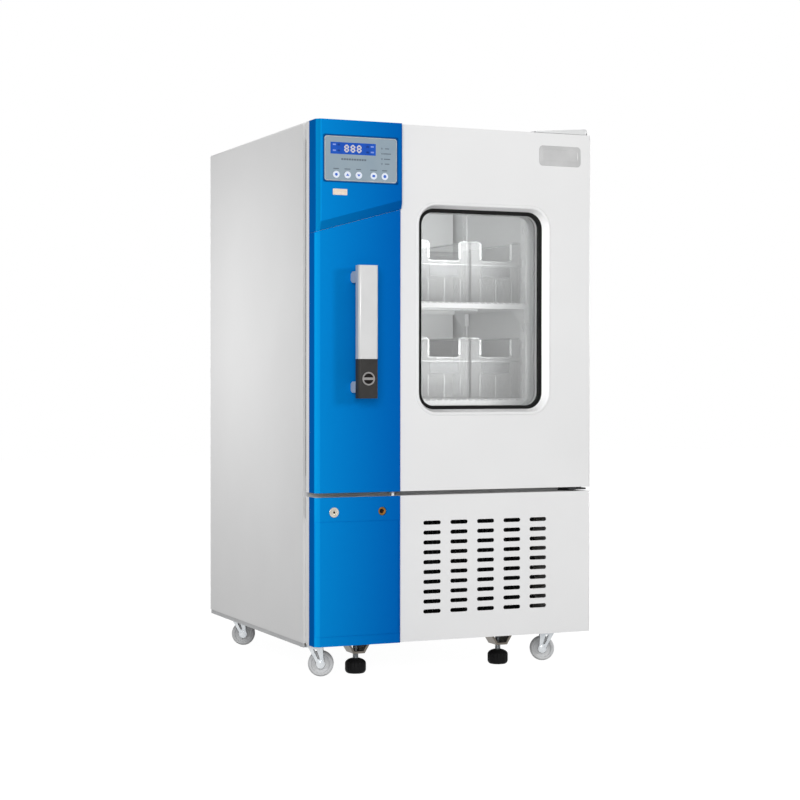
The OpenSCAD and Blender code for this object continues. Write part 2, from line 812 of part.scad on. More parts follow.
module door_outer_panel() {
    color("#f0f0f0") difference() {
        translate([0, 0, door_z0]) linear_extrude(door_h) front_rounded(-half_w, half_w, door_face, door_back, 3, 4);
        translate([-half_w + pan_t + trim_t, door_face + pan_t, door_z0 + pan_t])
            cube([case_w - 2 * (pan_t + trim_t), door_t, door_h - 2 * pan_t]);
        blue_notch(door_z0 - 1, door_z1 + 1);
        door_hole(hole_in, door_face - 1, 10);
        bush_holes();
    }
}

module plug_block(inset, depth) {
    w = chamber_w - 2 * (plug_gap + inset);
    h = roof_z - floor_z - 2 * (plug_gap + inset);
    translate([0, 0, (roof_z + floor_z) / 2]) upright(door_back, depth) rounded(w, h, 18 - inset);
}

module door_core() {
    color("#d9c98a") difference() {
        union() {
            translate([-half_w + pan_t + trim_t, door_face + pan_t, door_z0 + pan_t])
                cube([case_w - 2 * (pan_t + trim_t), door_t - pan_t - skin_t, door_h - 2 * pan_t]);
            translate([0, -skin_t, 0]) plug_block(skin_t, plug_h);
        }
        door_hole(hole_in, door_face - 1, frame_deep + 1);
        door_hole(rib_in - skin_t, door_face, 100);
        bush_holes();
    }
}

module door_inner_liner() {
    color("#f2f2f2") {
        difference() {
            union() {
                translate([-half_w + pan_t + trim_t, door_back - skin_t, door_z0 + pan_t])
                    cube([case_w - 2 * (pan_t + trim_t), skin_t, door_h - 2 * pan_t]);
                plug_block(0, plug_h);
            }
            difference() {
                translate([0, -skin_t - 0.01, 0]) plug_block(skin_t, plug_h + 0.01);
                door_hole(rib_in - skin_t, door_back - 20, 80);
            }
            door_hole(rib_in, door_back - 20, 80);
        }
    }
}

// Bellows gasket; its hinge side stays inside the hinge line, so it clears the casing as the door turns
module door_gasket() {
    half = 10;
    left = 5 + half;
    right = hinge_inset + 1 + half;
    rise = 10 + half;
    t = gasket_t - rest_gap;
    color("#808283") translate([(left - right) / 2, door_back, (door_z0 + door_z1) / 2]) rotate([0, 0, 180])
        front_ring(case_w - left - right, door_h - 2 * rise, 14)
            polygon([[-5, 0], [5, 0], [5, 2], [half, 4.5], [half, t], [-half, t], [-half, 4.5], [-5, 2]]);
}

module door_hinge_bushes() {
    color("#55585c") for (z = [door_z0, door_z1 - bush_h]) {
        translate([hinge_x, hinge_y, z]) difference() {
            cylinder(h = bush_h, r = bush_r);
            translate([0, 0, -1]) cylinder(h = bush_h + 2, r = pin_d / 2 + run);
        }
    }
}

// Frame moulding: a rounded lip on the door's face, a funnel in to the seal, and a rib between the panes
module window_frame() {
    lip_r = (lip_w * lip_w / 4 + lip_h * lip_h) / (2 * lip_h);
    color("#f2f2f2") translate([win_x, door_face, win_cz]) front_ring(win_w, win_h, win_r) {
        polygon([[-hole_in, 0], [-lip_w, 0], [-bevel_w, -bevel_d], [-bevel_w, -rib_z0], [-rib_in, -rib_z0],
            [-rib_in, -pane2], [-bevel_w, -pane2], [-bevel_w, -frame_deep], [-hole_in, -frame_deep]]);
        translate([-lip_w / 2, 0]) intersection() {
            translate([0, lip_h - lip_r]) circle(lip_r);
            translate([-lip_w / 2, 0]) square([lip_w, lip_h + 1]);
        }
    }
}

module window_seal() {
    x0 = -bevel_w - seal_w;
    color("#202020") translate([win_x, door_face, win_cz]) front_ring(win_w, win_h, win_r)
        polygon([[-bevel_w, -bevel_d], [x0 + 1, -bevel_d], [x0, -bevel_d - 1], [x0, -bevel_d - pane_in],
            [x0 + 4, -bevel_d - pane_in], [x0 + 4, -bevel_d - pane_in - glass_t], [x0, -bevel_d - pane_in - glass_t],
            [x0, -rib_z0], [-bevel_w, -rib_z0]]);
}

module window_glass() {
    color("#cfe0e4") {
        door_hole(bevel_w + seal_w - 4, door_face + bevel_d + pane_in, glass_t);
        door_hole(bevel_w, door_face + pane2, glass_t);
    }
}

// Everything below the sloping lower edge of the control housing, which ramps out to its face
module under_slant(lift) {
    translate([column_x, 0, slant_z + lift]) rotate([0, -house_slant, 0]) rotate([90, 0, 90])
        linear_extrude(2 * case_w, center = true)
            polygon([[trim_face - 3 * house_proud, 3 * house_ramp], [trim_face, 0], [60, 0],
                [60, -case_h], [trim_face - 3 * house_proud, -case_h]]);
}

module door_blue_cover() {
    color("#0476c4") intersection() {
        union() {
            translate([0, 0, door_z0]) linear_extrude(door_h) column_plan(trim_face);
            translate([0, 0, door_z0]) linear_extrude(trim_t) column_end(trim_face);
        }
        translate([column_x, 0, slant_z - seam]) rotate([0, -house_slant, 0])
            translate([-case_w, -200, -2 * case_h]) cube([2 * case_w, 400, 2 * case_h]);
    }
}

module control_housing() {
    ledge_w = panel_w + 2 * panel_groove;
    ledge_h = panel_h + 2 * panel_groove;
    color("#0476c4") difference() {
        union() {
            difference() {
                translate([0, 0, door_z0]) linear_extrude(door_h) column_end(house_face);
                difference() {
                    translate([0, 0, door_z0 - 1]) linear_extrude(door_h + 1 - trim_t)
                        column_outline(trim_t, house_face + 1, 0, 2);
                    under_slant(house_ramp + 6);
                }
            }
            translate([column_x, 0, panel_cz]) upright(house_face + trim_t + 0.5, 3)
                square([ledge_w + 8, ledge_h + 8], center = true);
        }
        under_slant(0);
        translate([column_x, 0, panel_cz]) upright(house_face - 1, 1.6 + panel_t) rounded(ledge_w, ledge_h, 3);
        translate([column_x, 0, panel_cz]) upright(house_face - 1, 20) rounded(panel_w - 6, panel_h - 6, 2);
    }
}

module control_panel() {
    color("#9aaab6") translate([column_x, 0, panel_cz]) difference() {
        upright(panel_face, panel_t) rounded(panel_w, panel_h, 2.5);
        for (x = key_x) bolt(x, key_z, panel_face - 1, 10, key_d / 2 + 0.3);
        translate([display_x, 0, display_z]) upright(panel_face - 1, 2) square([display_w, display_h], center = true);
    }
}

module display_window() {
    color("#2c6fc0") translate([column_x + display_x, 0, panel_cz + display_z])
        upright(panel_face - 0.2, 1.2) square([display_w, display_h], center = true);
}

module key(i) {
    color("#eef3f7") {
        bolt(column_x + key_x[i], panel_cz + key_z, panel_face - 1, panel_t + 1.4, key_d / 2);
        bolt(column_x + key_x[i], panel_cz + key_z, panel_face + panel_t + 0.3, 1, key_d / 2 + 1.4);
    }
}

// Handle: a bar on two posts; its lower end is a tongue inside the black lock block
module grip_plan(gap) {
    translate([column_x, (grip_back + grip_face) / 2]) rounded(grip_w - 2 * gap, grip_d - 2 * gap, 5 - gap);
}

module handle_bar() {
    color("#eceeef") {
        translate([0, 0, block_z1]) linear_extrude(grip_z1 - block_z1) grip_plan(0);
        translate([column_x - tongue_w / 2, tongue_y - tongue_d, grip_z0 + 8])
            cube([tongue_w, tongue_d, block_z1 - grip_z0]);
        for (i = [0, 1]) {
            y0 = grip_back + (i == 0 ? 0.2 : -1);
            translate([column_x - tongue_w / 2, grip_back - 4.5, post_z[i] - post_h / 2])
                cube([tongue_w - 2, 6, post_h]);
            translate([column_x - grip_w / 2 + post_in, 0, post_z[i]]) rotate([90, 0, 90])
                linear_extrude(post_w) polygon([[y0, -post_h / 2], [trim_face - 7, -post_h / 2],
                    [trim_face, 4 - post_h / 2], [trim_face, post_h / 2 - 4], [trim_face - 7, post_h / 2],
                    [y0, post_h / 2]]);
        }
    }
}

module handle_lock_block() {
    room = 0.2;
    color("#1b1b1c") difference() {
        translate([0, 0, grip_z0]) linear_extrude(lock_h - room) grip_plan(0);
        translate([column_x - tongue_w / 2 - room, tongue_y - tongue_d - room, grip_z0 + 8 - room])
            cube([tongue_w + 2 * room, grip_d, lock_h]);
        bolt(column_x, rosette_z, grip_face - 1, 4, rosette_d / 2 + 0.3);
        bolt(column_x, rosette_z, grip_face, tongue_y - tongue_d - grip_face, 4 + run);
    }
}

module handle_lock_plug() {
    deep = tongue_y - tongue_d - grip_face;
    color("#b4b6b8") difference() {
        union() {
            bolt(column_x, rosette_z, grip_face + 0.2, 2.5, rosette_d / 2);
            bolt(column_x, rosette_z, grip_face + 1, deep - 1.5, 4);
        }
        for (s = [-1, 1]) {
            translate([column_x, 0, rosette_z]) upright(grip_face - 1, 2.4) intersection() {
                circle(rosette_d / 2 - 2.6);
                translate([0, s * (rosette_d / 2 + 2.2)]) square(rosette_d, center = true);
            }
        }
    }
}

// Swivel caster: pressed fork on its kingpin with the axle, and the wheel that runs on it
module fork_plate(t) {
    rotate([90, 0, 0]) linear_extrude(t, center = true) {
        difference() {
            polygon([[-3, fork_top - 3], [trail + 4, fork_top - 3], [trail + 6, axle_z], [trail - 6, axle_z]]);
            polygon([[6, fork_top - 7], [13, fork_top - 7], [trail - 1, axle_z + 9], [trail - 5, axle_z + 9]]);
        }
        translate([trail, axle_z]) circle(6);
    }
}

module fork(i) {
    gap = wheel_w / 2 + 1.6;
    s = swivel[i];
    color("#c3c5c7") translate([s[0], s[1], 0]) rotate(s[2] - caster_turn) {
        translate([0, 0, fork_top - 3]) cylinder(h = 3, d = 38);
        translate([-6, -gap - fork_t, fork_top - 3]) cube([trail + 10, 2 * (gap + fork_t), 3]);
        translate([0, 0, fork_top - 1]) cylinder(h = race_h + 3, r = kingpin_r);
        for (y = [-1, 1]) {
            translate([0, y * (gap + fork_t / 2), 0]) fork_plate(fork_t);
        }
        translate([trail, gap + fork_t + 2, axle_z]) rotate([90, 0, 0])
            cylinder(h = 2 * (gap + fork_t + 2), r = axle_r);
    }
}

module wheel(i) {
    r = wheel_d / 2;
    h = wheel_w / 2;
    s = swivel[i];
    color("#c9cacb") translate([s[0], s[1], 0]) rotate(s[2] - caster_turn)
        translate([trail, 0, r]) rotate([90, 0, 0]) rotate_extrude()
            polygon([[axle_r + run, -h], [9, -h], [10, -h + 2.5], [r - 7, -h + 2.5], [r - 6, -h], [r - 3, -h],
                [r - 0.8, -h + 2.2], [r, -h + 4.5], [r, h - 4.5], [r - 0.8, h - 2.2], [r - 3, h], [r - 6, h],
                [r - 7, h - 2.5], [10, h - 2.5], [9, h], [axle_r + run, h]]);
}

// Levelling foot: a ribbed knob on a threaded stem
module foot(i) {
    f = feet[i];
    color("#1c1c1d") translate([f[0], f[1], 0]) {
        difference() {
            rotate_extrude() polygon([[0, 0], [foot_d / 2 - 4, 0], [foot_d / 2 - 1.5, 3], [foot_d / 2, 6],
                [foot_d / 2, foot_h - 9], [foot_d / 2 - 3, foot_h - 4], [foot_d / 2 - 9, foot_h - 1], [0, foot_h]]);
            for (k = [0:11]) rotate(30 * k) {
                translate([foot_d / 2 + 0.6, 0, 5]) cylinder(h = foot_h, r = 2);
            }
        }
        translate([0, 0, foot_h - 3]) cylinder(h = ride_h + 18 - foot_h, d = stem_d);
    }
}

place() outer_shell();
place() back_panel();
place() insulation_foam();
place() inner_liner();
place() base_tray();
place() base_brackets();
place() lower_front_panel();
place() lower_blue_cover();
place() lower_lock_ring();
place() lower_lock_plug();
place() compressor();
place() condenser();
place() fan_motor();
place() condenser_fan();
place() evaporator();
place() evaporator_cover();
place() shelf_supports();
place() shelves();
place() hinge_brackets();
place() hinge_cover();
place() power_inlet();
place() door_outer_panel();
place() door_core();
place() door_inner_liner();
place() door_gasket();
place() door_hinge_bushes();
place() window_frame();
place() window_seal();
place() window_glass();
place() door_blue_cover();
place() control_housing();
place() control_panel();
place() display_window();
place() handle_bar();
place() handle_lock_block();
place() handle_lock_plug();
place() key(0);  // key_1
place() key(1);  // key_2
place() key(2);  // key_3
place() key(3);  // key_4
place() key(4);  // key_5
place() drawer(1, floor_z + upper_shelf);  // drawer_upper_1
place() drawer(2, floor_z + upper_shelf);  // drawer_upper_2
place() drawer(3, floor_z + upper_shelf);  // drawer_upper_3
place() drawer(4, floor_z + upper_shelf);  // drawer_upper_4
place() drawer(1, floor_z + lower_shelf);  // drawer_lower_1
place() drawer(2, floor_z + lower_shelf);  // drawer_lower_2
place() drawer(3, floor_z + lower_shelf);  // drawer_lower_3
place() drawer(4, floor_z + lower_shelf);  // drawer_lower_4
place() fork(0);  // fork_front_left
place() fork(1);  // fork_front_right
place() fork(2);  // fork_rear_left
place() fork(3);  // fork_rear_right
place() wheel(0);  // wheel_front_left
place() wheel(1);  // wheel_front_right
place() wheel(2);  // wheel_rear_left
place() wheel(3);  // wheel_rear_right
place() foot(0);  // foot_left_knob
place() foot(1);  // foot_right_knob
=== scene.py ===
import math
import bmesh
import bpy
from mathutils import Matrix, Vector


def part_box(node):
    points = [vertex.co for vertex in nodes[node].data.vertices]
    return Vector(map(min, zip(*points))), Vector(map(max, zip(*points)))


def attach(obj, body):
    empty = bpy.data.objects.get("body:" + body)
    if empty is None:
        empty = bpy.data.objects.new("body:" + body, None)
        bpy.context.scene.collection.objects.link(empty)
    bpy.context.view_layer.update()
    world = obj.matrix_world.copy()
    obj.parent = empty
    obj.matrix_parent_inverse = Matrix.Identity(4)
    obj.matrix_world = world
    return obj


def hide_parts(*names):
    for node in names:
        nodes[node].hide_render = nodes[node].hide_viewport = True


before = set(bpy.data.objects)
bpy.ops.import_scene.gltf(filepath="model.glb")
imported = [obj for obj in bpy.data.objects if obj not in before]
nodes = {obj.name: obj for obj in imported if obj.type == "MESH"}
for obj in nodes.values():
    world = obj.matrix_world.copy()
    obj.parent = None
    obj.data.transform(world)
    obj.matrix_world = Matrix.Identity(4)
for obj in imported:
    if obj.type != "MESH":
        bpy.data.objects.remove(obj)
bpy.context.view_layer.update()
scene = bpy.context.scene
frontPlane = -0.22  # the casing's front edge, measured from the middle of the depth
print("frame loaded,", len(nodes), "nodes")


def at(x, y, z):  # millimetres from the casing's front edge to the frame's metres
    return Vector((x / 1000, y / 1000 + frontPlane, z / 1000))


def linear(hexText):  # sRGB hex to linear colour
    parts = [int(hexText[i:i + 2], 16) / 255 for i in (1, 3, 5)]
    return (*[c / 12.92 if c <= 0.04045 else ((c + 0.055) / 1.055) ** 2.4 for c in parts], 1.0)


def put(tree, kind, values=None, links=None, **settings):  # a node with its settings, values and links
    node = tree.nodes.new(kind)
    for name, value in settings.items():
        setattr(node, name, value)
    for key, value in (values or {}).items():
        node.inputs[key].default_value = value
    for key, source in (links or {}).items():
        tree.links.new(source, node.inputs[key])
    return node


def perMm(size):  # texture scale whose features are this many millimetres wide
    return 1000 / size


# camera, from the fit of the photograph's edges
view = {"place": (-1.4613, -3.3789, 0.5440), "turn": (89.365, -0.05, -23.478), "lens": 84.02, "sensor": 36,
        "near": 0.1, "far": 60}
cameraData = bpy.data.cameras.new("viewCamera")
cameraData.lens, cameraData.sensor_width = view["lens"], view["sensor"]
cameraData.clip_start, cameraData.clip_end = view["near"], view["far"]
camera = bpy.data.objects.new("viewCamera", cameraData)
camera.location = view["place"]
camera.rotation_euler = [math.radians(a) for a in view["turn"]]
scene.collection.objects.link(camera)
scene.camera = camera
scene.view_settings.view_transform = "Standard"

# lamps: softboxes round the part, a glow in the window's recess and behind the panes, the chamber's bar
lamps = {
    "frontSoftbox": {"place": (-1.5, -3.0, 1.12), "aim": (0, -0.25, 0.66), "size": (1.3, 1.3), "watts": 49},
    "sideSoftbox": {"place": (-0.8, 0.18, 0.65), "aim": (-0.28, 0.18, 0.65), "size": (0.3, 0.3),
                    "watts": 1.42},
    "frontFill": {"place": (1.7, -2.9, 1.2), "aim": (0, -0.2, 0.6), "size": (0.6, 0.6), "watts": 24,
                  "mirrored": False},
    "rightSoftbox": {"place": (3.0, 0.3, 0.9), "aim": (0.28, 0.05, 0.55), "size": (0.7, 0.7), "watts": 28},
    "topSoftbox": {"place": (0.05, 0.12, 3.0), "aim": (0.05, 0.12, 1.0), "size": (0.3, 0.3), "watts": 16},
    "recessGlow": {"place": (-0.0675, -0.269, 0.673), "aim": (0.18, -0.269, 0.673), "size": (0.006, 0.33),
                   "watts": 0.15, "spread": 60, "mirrored": False},
    "upperPane": {"place": (0.056, -0.236, 0.795), "aim": (0.056, 0.2, 0.795), "size": (0.2, 0.09),
                  "watts": 0.24, "spread": 80, "mirrored": False},
    "lowerPane": {"place": (0.056, -0.236, 0.585), "aim": (0.056, 0.2, 0.585), "size": (0.2, 0.11),
                  "watts": 0.19, "spread": 80, "mirrored": False},
    "wholePane": {"place": (0.056, -0.216, 0.673), "aim": (0.056, 0.2, 0.673), "size": (0.24, 0.35),
                  "watts": 0.17, "mirrored": False},
    "chamberGlow": {"place": (-0.075, -0.188, 0.9415), "aim": (-0.075, 0, 0.45), "size": (0.23, 0.016),
                    "watts": 0.2},
}
for name, lamp in lamps.items():
    data = bpy.data.lights.new(name, "AREA")
    data.shape, data.energy = "RECTANGLE", lamp["watts"]
    data.size, data.size_y = lamp["size"]
    data.spread = math.radians(lamp.get("spread", 180))
    obj = bpy.data.objects.new(name, data)
    obj.location = lamp["place"]
    obj.rotation_euler = (Vector(lamp["aim"]) - obj.location).to_track_quat("-Z", "Y").to_euler()
    obj.visible_camera = obj.visible_transmission = False
    obj.visible_glossy = lamp.get("mirrored", True)
    scene.collection.objects.link(obj)

# white surroundings for what the eye, gloss and glass see; less of it as light
surroundings = {"light": 0.3, "seen": 1.0, "floorKeeps": 0.2, "floorGlow": 1.225, "floorTone": 0.5,
                "floorReach": 9}
seenBy = ("Is Camera Ray", "Is Glossy Ray", "Is Transmission Ray")


def seenShare(tree):  # 1 for what the eye sees, straight, in gloss or through glass
    path = put(tree, "ShaderNodeLightPath")
    share = path.outputs[seenBy[0]]
    for name in seenBy[1:]:
        either = put(tree, "ShaderNodeMath", links={0: share, 1: path.outputs[name]}, operation="MAXIMUM")
        share = either.outputs[0]
    return share


world = bpy.data.worlds.new("whiteStudio")
world.use_nodes = True
scene.world = world
tree = world.node_tree
tree.nodes.clear()
lit = put(tree, "ShaderNodeBackground", {"Color": (1, 1, 1, 1), "Strength": surroundings["light"]})
shown = put(tree, "ShaderNodeBackground", {"Color": (1, 1, 1, 1), "Strength": surroundings["seen"]})
mixed = put(tree, "ShaderNodeMixShader", links={0: seenShare(tree), 1: lit.outputs[0], 2: shown.outputs[0]})
put(tree, "ShaderNodeOutputWorld", links={"Surface": mixed.outputs[0]})

floorPaper = bpy.data.materials.new("whitePaperFloor")  # shows white, and keeps a soft shadow
floorPaper.use_nodes = True
tree = floorPaper.node_tree
tree.nodes.clear()
share = put(tree, "ShaderNodeMath", {1: 1 - surroundings["floorKeeps"]}, {0: seenShare(tree)},
            operation="MULTIPLY")
paper = put(tree, "ShaderNodeBsdfDiffuse", {"Color": (*[surroundings["floorTone"]] * 3, 1)})
glow = put(tree, "ShaderNodeEmission", {"Color": (1, 1, 1, 1), "Strength": surroundings["floorGlow"]})
mixed = put(tree, "ShaderNodeMixShader", links={0: share.outputs[0], 1: paper.outputs[0], 2: glow.outputs[0]})
put(tree, "ShaderNodeOutputMaterial", links={"Surface": mixed.outputs[0]})
floorMesh = bpy.data.meshes.new("floor")
reach = surroundings["floorReach"]
floorCorners = [(-reach, -reach, 0), (reach, -reach, 0), (reach, reach, 0), (-reach, reach, 0)]
floorMesh.from_pydata(floorCorners, [], [(0, 1, 2, 3)])
floorMesh.materials.append(floorPaper)
floor = bpy.data.objects.new("floor", floorMesh)
scene.collection.objects.link(floor)
print("camera, lamps and floor set")


# finishes: each starts as a Principled shader with its constant sockets, and gets its pattern below
def finish(name, **sockets):
    mat = bpy.data.materials.new(name)
    mat.use_nodes = True
    shader = mat.node_tree.nodes["Principled BSDF"]
    for key, value in sockets.items():
        shader.inputs[key.replace("_", " ")].default_value = value
    return mat


relief = {"cloudStops": (0.3, 0.7), "cloudDetail": 3.0, "grainDetail": 2.0, "bumpStrength": 0.35}
lowGloss = 0.06


def pattern(mat, tones, toneSize, grainSize, grainDepth, roughness, stretch=(1, 1, 1), across=None,
            paintedShadeDepth=None):
    # tones in soft clouds, or at given x as painted light, and darkened past a depth as painted shade; fine
    # grain in bump and roughness; all in mm
    tree = mat.node_tree
    shader = tree.nodes["Principled BSDF"]
    coords = put(tree, "ShaderNodeTexCoord")
    cloud = put(tree, "ShaderNodeTexNoise", {"Scale": perMm(toneSize), "Detail": relief["cloudDetail"]},
                {"Vector": coords.outputs["Object"]})
    share, stops = cloud.outputs["Fac"], relief["cloudStops"]
    if across:
        split = put(tree, "ShaderNodeSeparateXYZ", links={0: coords.outputs["Object"]})
        share = put(tree, "ShaderNodeMapRange", {"From Min": across[0] / 1000, "From Max": across[-1] / 1000},
                    {"Value": split.outputs["X"]}).outputs["Result"]
        stops = [(x - across[0]) / (across[-1] - across[0]) for x in across]
    colours = put(tree, "ShaderNodeValToRGB", links={"Fac": share})
    ramp = colours.color_ramp.elements
    for stop in stops[2:]:
        ramp.new(stop)
    for element, stop, tone in zip(ramp, stops, tones):
        element.position, element.color = stop, linear(tone)
    colour = colours.outputs["Color"]
    # painted shade: the tone is darkened past a depth, where a face turns down from the light
    if paintedShadeDepth:  # where the change starts and ends, and the share of the tone that is left
        start, end, left = paintedShadeDepth
        span = {"From Min": at(0, start, 0).y, "From Max": at(0, end, 0).y, "To Min": 1.0, "To Max": left}
        keep = put(tree, "ShaderNodeMapRange", span, {"Value": split.outputs["Y"]})
        colour = put(tree, "ShaderNodeVectorMath", links={"Vector": colour, "Scale": keep.outputs["Result"]},
                     operation="SCALE").outputs["Vector"]
    tree.links.new(colour, shader.inputs["Base Color"])
    drawn = put(tree, "ShaderNodeMapping", {"Scale": stretch}, {"Vector": coords.outputs["Object"]})
    grain = put(tree, "ShaderNodeTexNoise", {"Scale": perMm(grainSize), "Detail": relief["grainDetail"]},
                {"Vector": drawn.outputs["Vector"]})
    gloss = put(tree, "ShaderNodeMapRange", {"To Min": roughness[0], "To Max": roughness[1]},
                {"Value": grain.outputs["Fac"]})
    tree.links.new(gloss.outputs["Result"], shader.inputs["Roughness"])
    bump = put(tree, "ShaderNodeBump", {"Strength": relief["bumpStrength"], "Distance": grainDepth / 1000},
               {"Height": grain.outputs["Fac"]})
    tree.links.new(bump.outputs["Normal"], shader.inputs["Normal"])
    return mat


def matt(name, **sockets):  # a finish whose white gloss is held low, as on deep colours in soft light
    return finish(name, Specular_IOR_Level=lowGloss, **sockets)


# powder coat on sheet steel: even white with a faint orange peel, half gloss
powderCoat = pattern(finish("powderCoatedSteel", IOR=1.5), ("#e4e4e4", "#e9e9e9"), 260, 2.2, 0.05,
                     (0.34, 0.44))
# pre-painted sheet of the door: smoother and a little brighter
paintedSheet = pattern(finish("prePaintedSheet", IOR=1.5), ("#e9e9e9", "#eeeeee"), 300, 3.0, 0.03,
                       (0.28, 0.36))
# moulded blue ABS with painted light across x: a painted highlight on the slanted edge, painted shade to the
# right and round the side
bluePaintedLight = {"tones": ("#0268c0", "#0268c0", "#0aa8f6", "#0a9dec", "#0585d2", "#0261b5"), "toneSize": 60,
            "grainSize": 0.9, "grainDepth": 0.03, "roughness": (0.32, 0.42),
            "across": (-280, -279.5, -279, -272.5, -270, -118)}
blueAbs = pattern(finish("mouldedBlueAbs", IOR=1.53, Specular_IOR_Level=0.0), **bluePaintedLight)
# housing blue: the same painted light across x with a lighter side, and painted shade on the ramp that faces
# down
housingAbs = pattern(finish("foldedBlueAbs", IOR=1.53, Specular_IOR_Level=0.0), paintedShadeDepth=(-68.7, -68.2, 0.74),
                     **{**bluePaintedLight, "tones": ("#037bdc", "#037bdc", *bluePaintedLight["tones"][2:])})
# vacuum-formed polystyrene: white, slightly wavy
formedHips = pattern(finish("vacuumFormedHips", IOR=1.59), ("#e2e4e4", "#e9ebeb"), 180, 9.0, 0.08,
                     (0.38, 0.5))
# galvanised sheet: dull grey zinc in broad cloudy flakes
zincSheet = pattern(finish("galvanisedSheet", Metallic=1.0), ("#b1b5b8", "#bdc0c3"), 9, 1.6, 0.02,
                    (0.36, 0.5))
# pale grey dip paint of the base tray
trayPaint = pattern(matt("greyDipPaint", IOR=1.5), ("#cfd0d1", "#d8d9da"), 50, 1.6, 0.05, (0.45, 0.6))
# bright zinc plating on pressed steel: clear silver with a fine rolled grain
zincPlate = pattern(finish("brightZincPlate", Metallic=1.0), ("#b9bdc1", "#cdd0d2"), 14, 0.8, 0.02,
                    (0.22, 0.36), (1, 1, 0.2))
# yellow-passivated zinc of the foot brackets with a warm cast, darkened as painted shade for the hollows of
# the pressed channel
warmZincPaintedShade = pattern(finish("passivatedZinc", Metallic=1.0), ("#6a655f", "#7d776f"), 10, 0.8, 0.02, (0.26, 0.4))
# nickel plate on turned brass: warm silver with faint turning marks
nickel = pattern(finish("nickelPlatedBrass", Metallic=1.0), ("#c2bcae", "#d3cec3"), 6, 0.5, 0.01,
                 (0.16, 0.26))
# bare turned brass: brown gold
brass = pattern(finish("turnedBrass", Metallic=1.0), ("#8a6233", "#b07f45"), 5, 0.5, 0.02, (0.3, 0.42))
# polyurethane foam: straw yellow, open cells
foam = pattern(finish("polyurethaneFoam", IOR=1.4), ("#cdbb80", "#dcca92"), 12, 1.4, 0.4, (0.8, 0.95))
# black stoved paint on the compressor's shell, the condenser and the hinge plates
stovedPaint = pattern(finish("blackStovedPaint", IOR=1.5), ("#1c1d1e", "#26282a"), 40, 1.8, 0.06, (0.3, 0.45))
# mill-finish aluminium of the fins: pale grey with drawn lines
millAluminium = pattern(finish("millAluminium", Metallic=1.0), ("#9aa0a5", "#b4b9bd"), 20, 0.7, 0.02,
                        (0.3, 0.45), (1, 1, 0.05))
# glass-filled nylon: near black, matt
filledNylon = pattern(matt("glassFilledNylon", IOR=1.53), ("#242629", "#2f3235"), 18, 0.7, 0.05, (0.5, 0.65))
# polyethylene dip coat on wire: thick glossy white skin
dipCoat = pattern(finish("polyethyleneDipCoat", IOR=1.51), ("#eceeee", "#f4f5f5"), 60, 5.0, 0.05, (0.3, 0.42))
# moulded light grey ABS of the hinge cover
greyAbs = pattern(finish("mouldedGreyAbs", IOR=1.53), ("#dadbdb", "#e2e3e3"), 60, 0.8, 0.04, (0.4, 0.52))
# soft PVC bellows of the gasket: matt dark grey with extrusion lines
softPvc = pattern(matt("softPvcGasket", IOR=1.52), ("#3a3c3d", "#454748"), 50, 1.2, 0.05, (0.5, 0.65),
                  (1, 1, 0.15))
# EPDM rubber of the window seal: black with a low sheen
epdm = pattern(matt("epdmRubber", IOR=1.5), ("#161616", "#1e1e1e"), 30, 0.8, 0.04, (0.42, 0.56))
# matt polyester film over the control panel: blue-grey, fine frosted grain
overlayFilm = pattern(matt("polyesterOverlay", IOR=1.6), ("#8fa0ad", "#99a8b2"), 45, 0.6, 0.02, (0.36, 0.46))
# satin anodised aluminium: bright, with a grain drawn along its length
anodised = pattern(finish("satinAnodisedAluminium", Metallic=0.15), ("#cfcfcf", "#d8d8d8"), 70, 0.5, 0.015,
                   (0.3, 0.42), (1, 1, 0.04))
# pressed aluminium plate, brushed across: silver that takes the light on its slopes
brushedPlate = pattern(finish("brushedAluminiumPlate", Metallic=0.15), ("#c0c0c0", "#cbcbcb"), 40, 0.4, 0.01,
                       (0.28, 0.42), (0.05, 1, 1))
# moulded black nylon of the lock block
blackNylon = pattern(matt("mouldedBlackNylon", IOR=1.53), ("#383736", "#403f3e"), 24, 0.8, 0.04, (0.38, 0.5))
# die-cast zinc with a grey lacquer: the lock's rosette
castZinc = pattern(finish("lacqueredZincCasting", Metallic=0.35), ("#8b8988", "#989695"), 8, 0.6, 0.01,
                   (0.35, 0.45))
# key caps: glossy white ABS
keyAbs = pattern(finish("glossyKeyAbs", IOR=1.53), ("#dfe8f6", "#e9f0fb"), 8, 1.0, 0.01, (0.2, 0.3))
# thermoplastic rubber tread on the wheels: pale grey, matt
paleTread = pattern(matt("greyThermoplasticRubber", IOR=1.5), ("#d8d9da", "#e2e3e4"), 15, 0.9, 0.06,
                    (0.5, 0.64))
# polished float glass, clear and neutral
floatGlass = finish("floatGlass", IOR=1.5, Transmission_Weight=1.0, Roughness=0.0,
                    Base_Color=linear("#fafafa"))
# moulded polycarbonate of the drawers, clear with a light haze, and its edges, where the haze adds up
drawerClear = pattern(finish("clearPolycarbonate", IOR=1.58, Alpha=0.14), ("#e6e8e8", "#eef0f0"), 90, 3.0,
                      0.03, (0.12, 0.2))
drawerEdge = pattern(finish("clearPolycarbonateEdge", IOR=1.58, Alpha=0.24), ("#e6e9e9", "#f0f2f2"), 60, 3.0,
                     0.03, (0.14, 0.22))
cheekHaze = pattern(finish("clearPolycarbonateCheek", IOR=1.58, Alpha=0.5), ("#f0f2f2", "#f8f9f9"), 60, 3.0,
                    0.03, (0.2, 0.3))
# grey card in the drawers' label pockets, pale behind their haze
cardStock = pattern(finish("greyCardLabel", IOR=1.45, Alpha=0.3), ("#9a9c9d", "#a4a6a7"), 12, 0.6, 0.02,
                    (0.6, 0.7))
# tinted acrylic over the display: deep blue, polished
tintedAcrylic = pattern(matt("tintedAcrylic", IOR=1.49), ("#2050b2", "#285cc2"), 16, 2.0, 0.0, (0.1, 0.14))
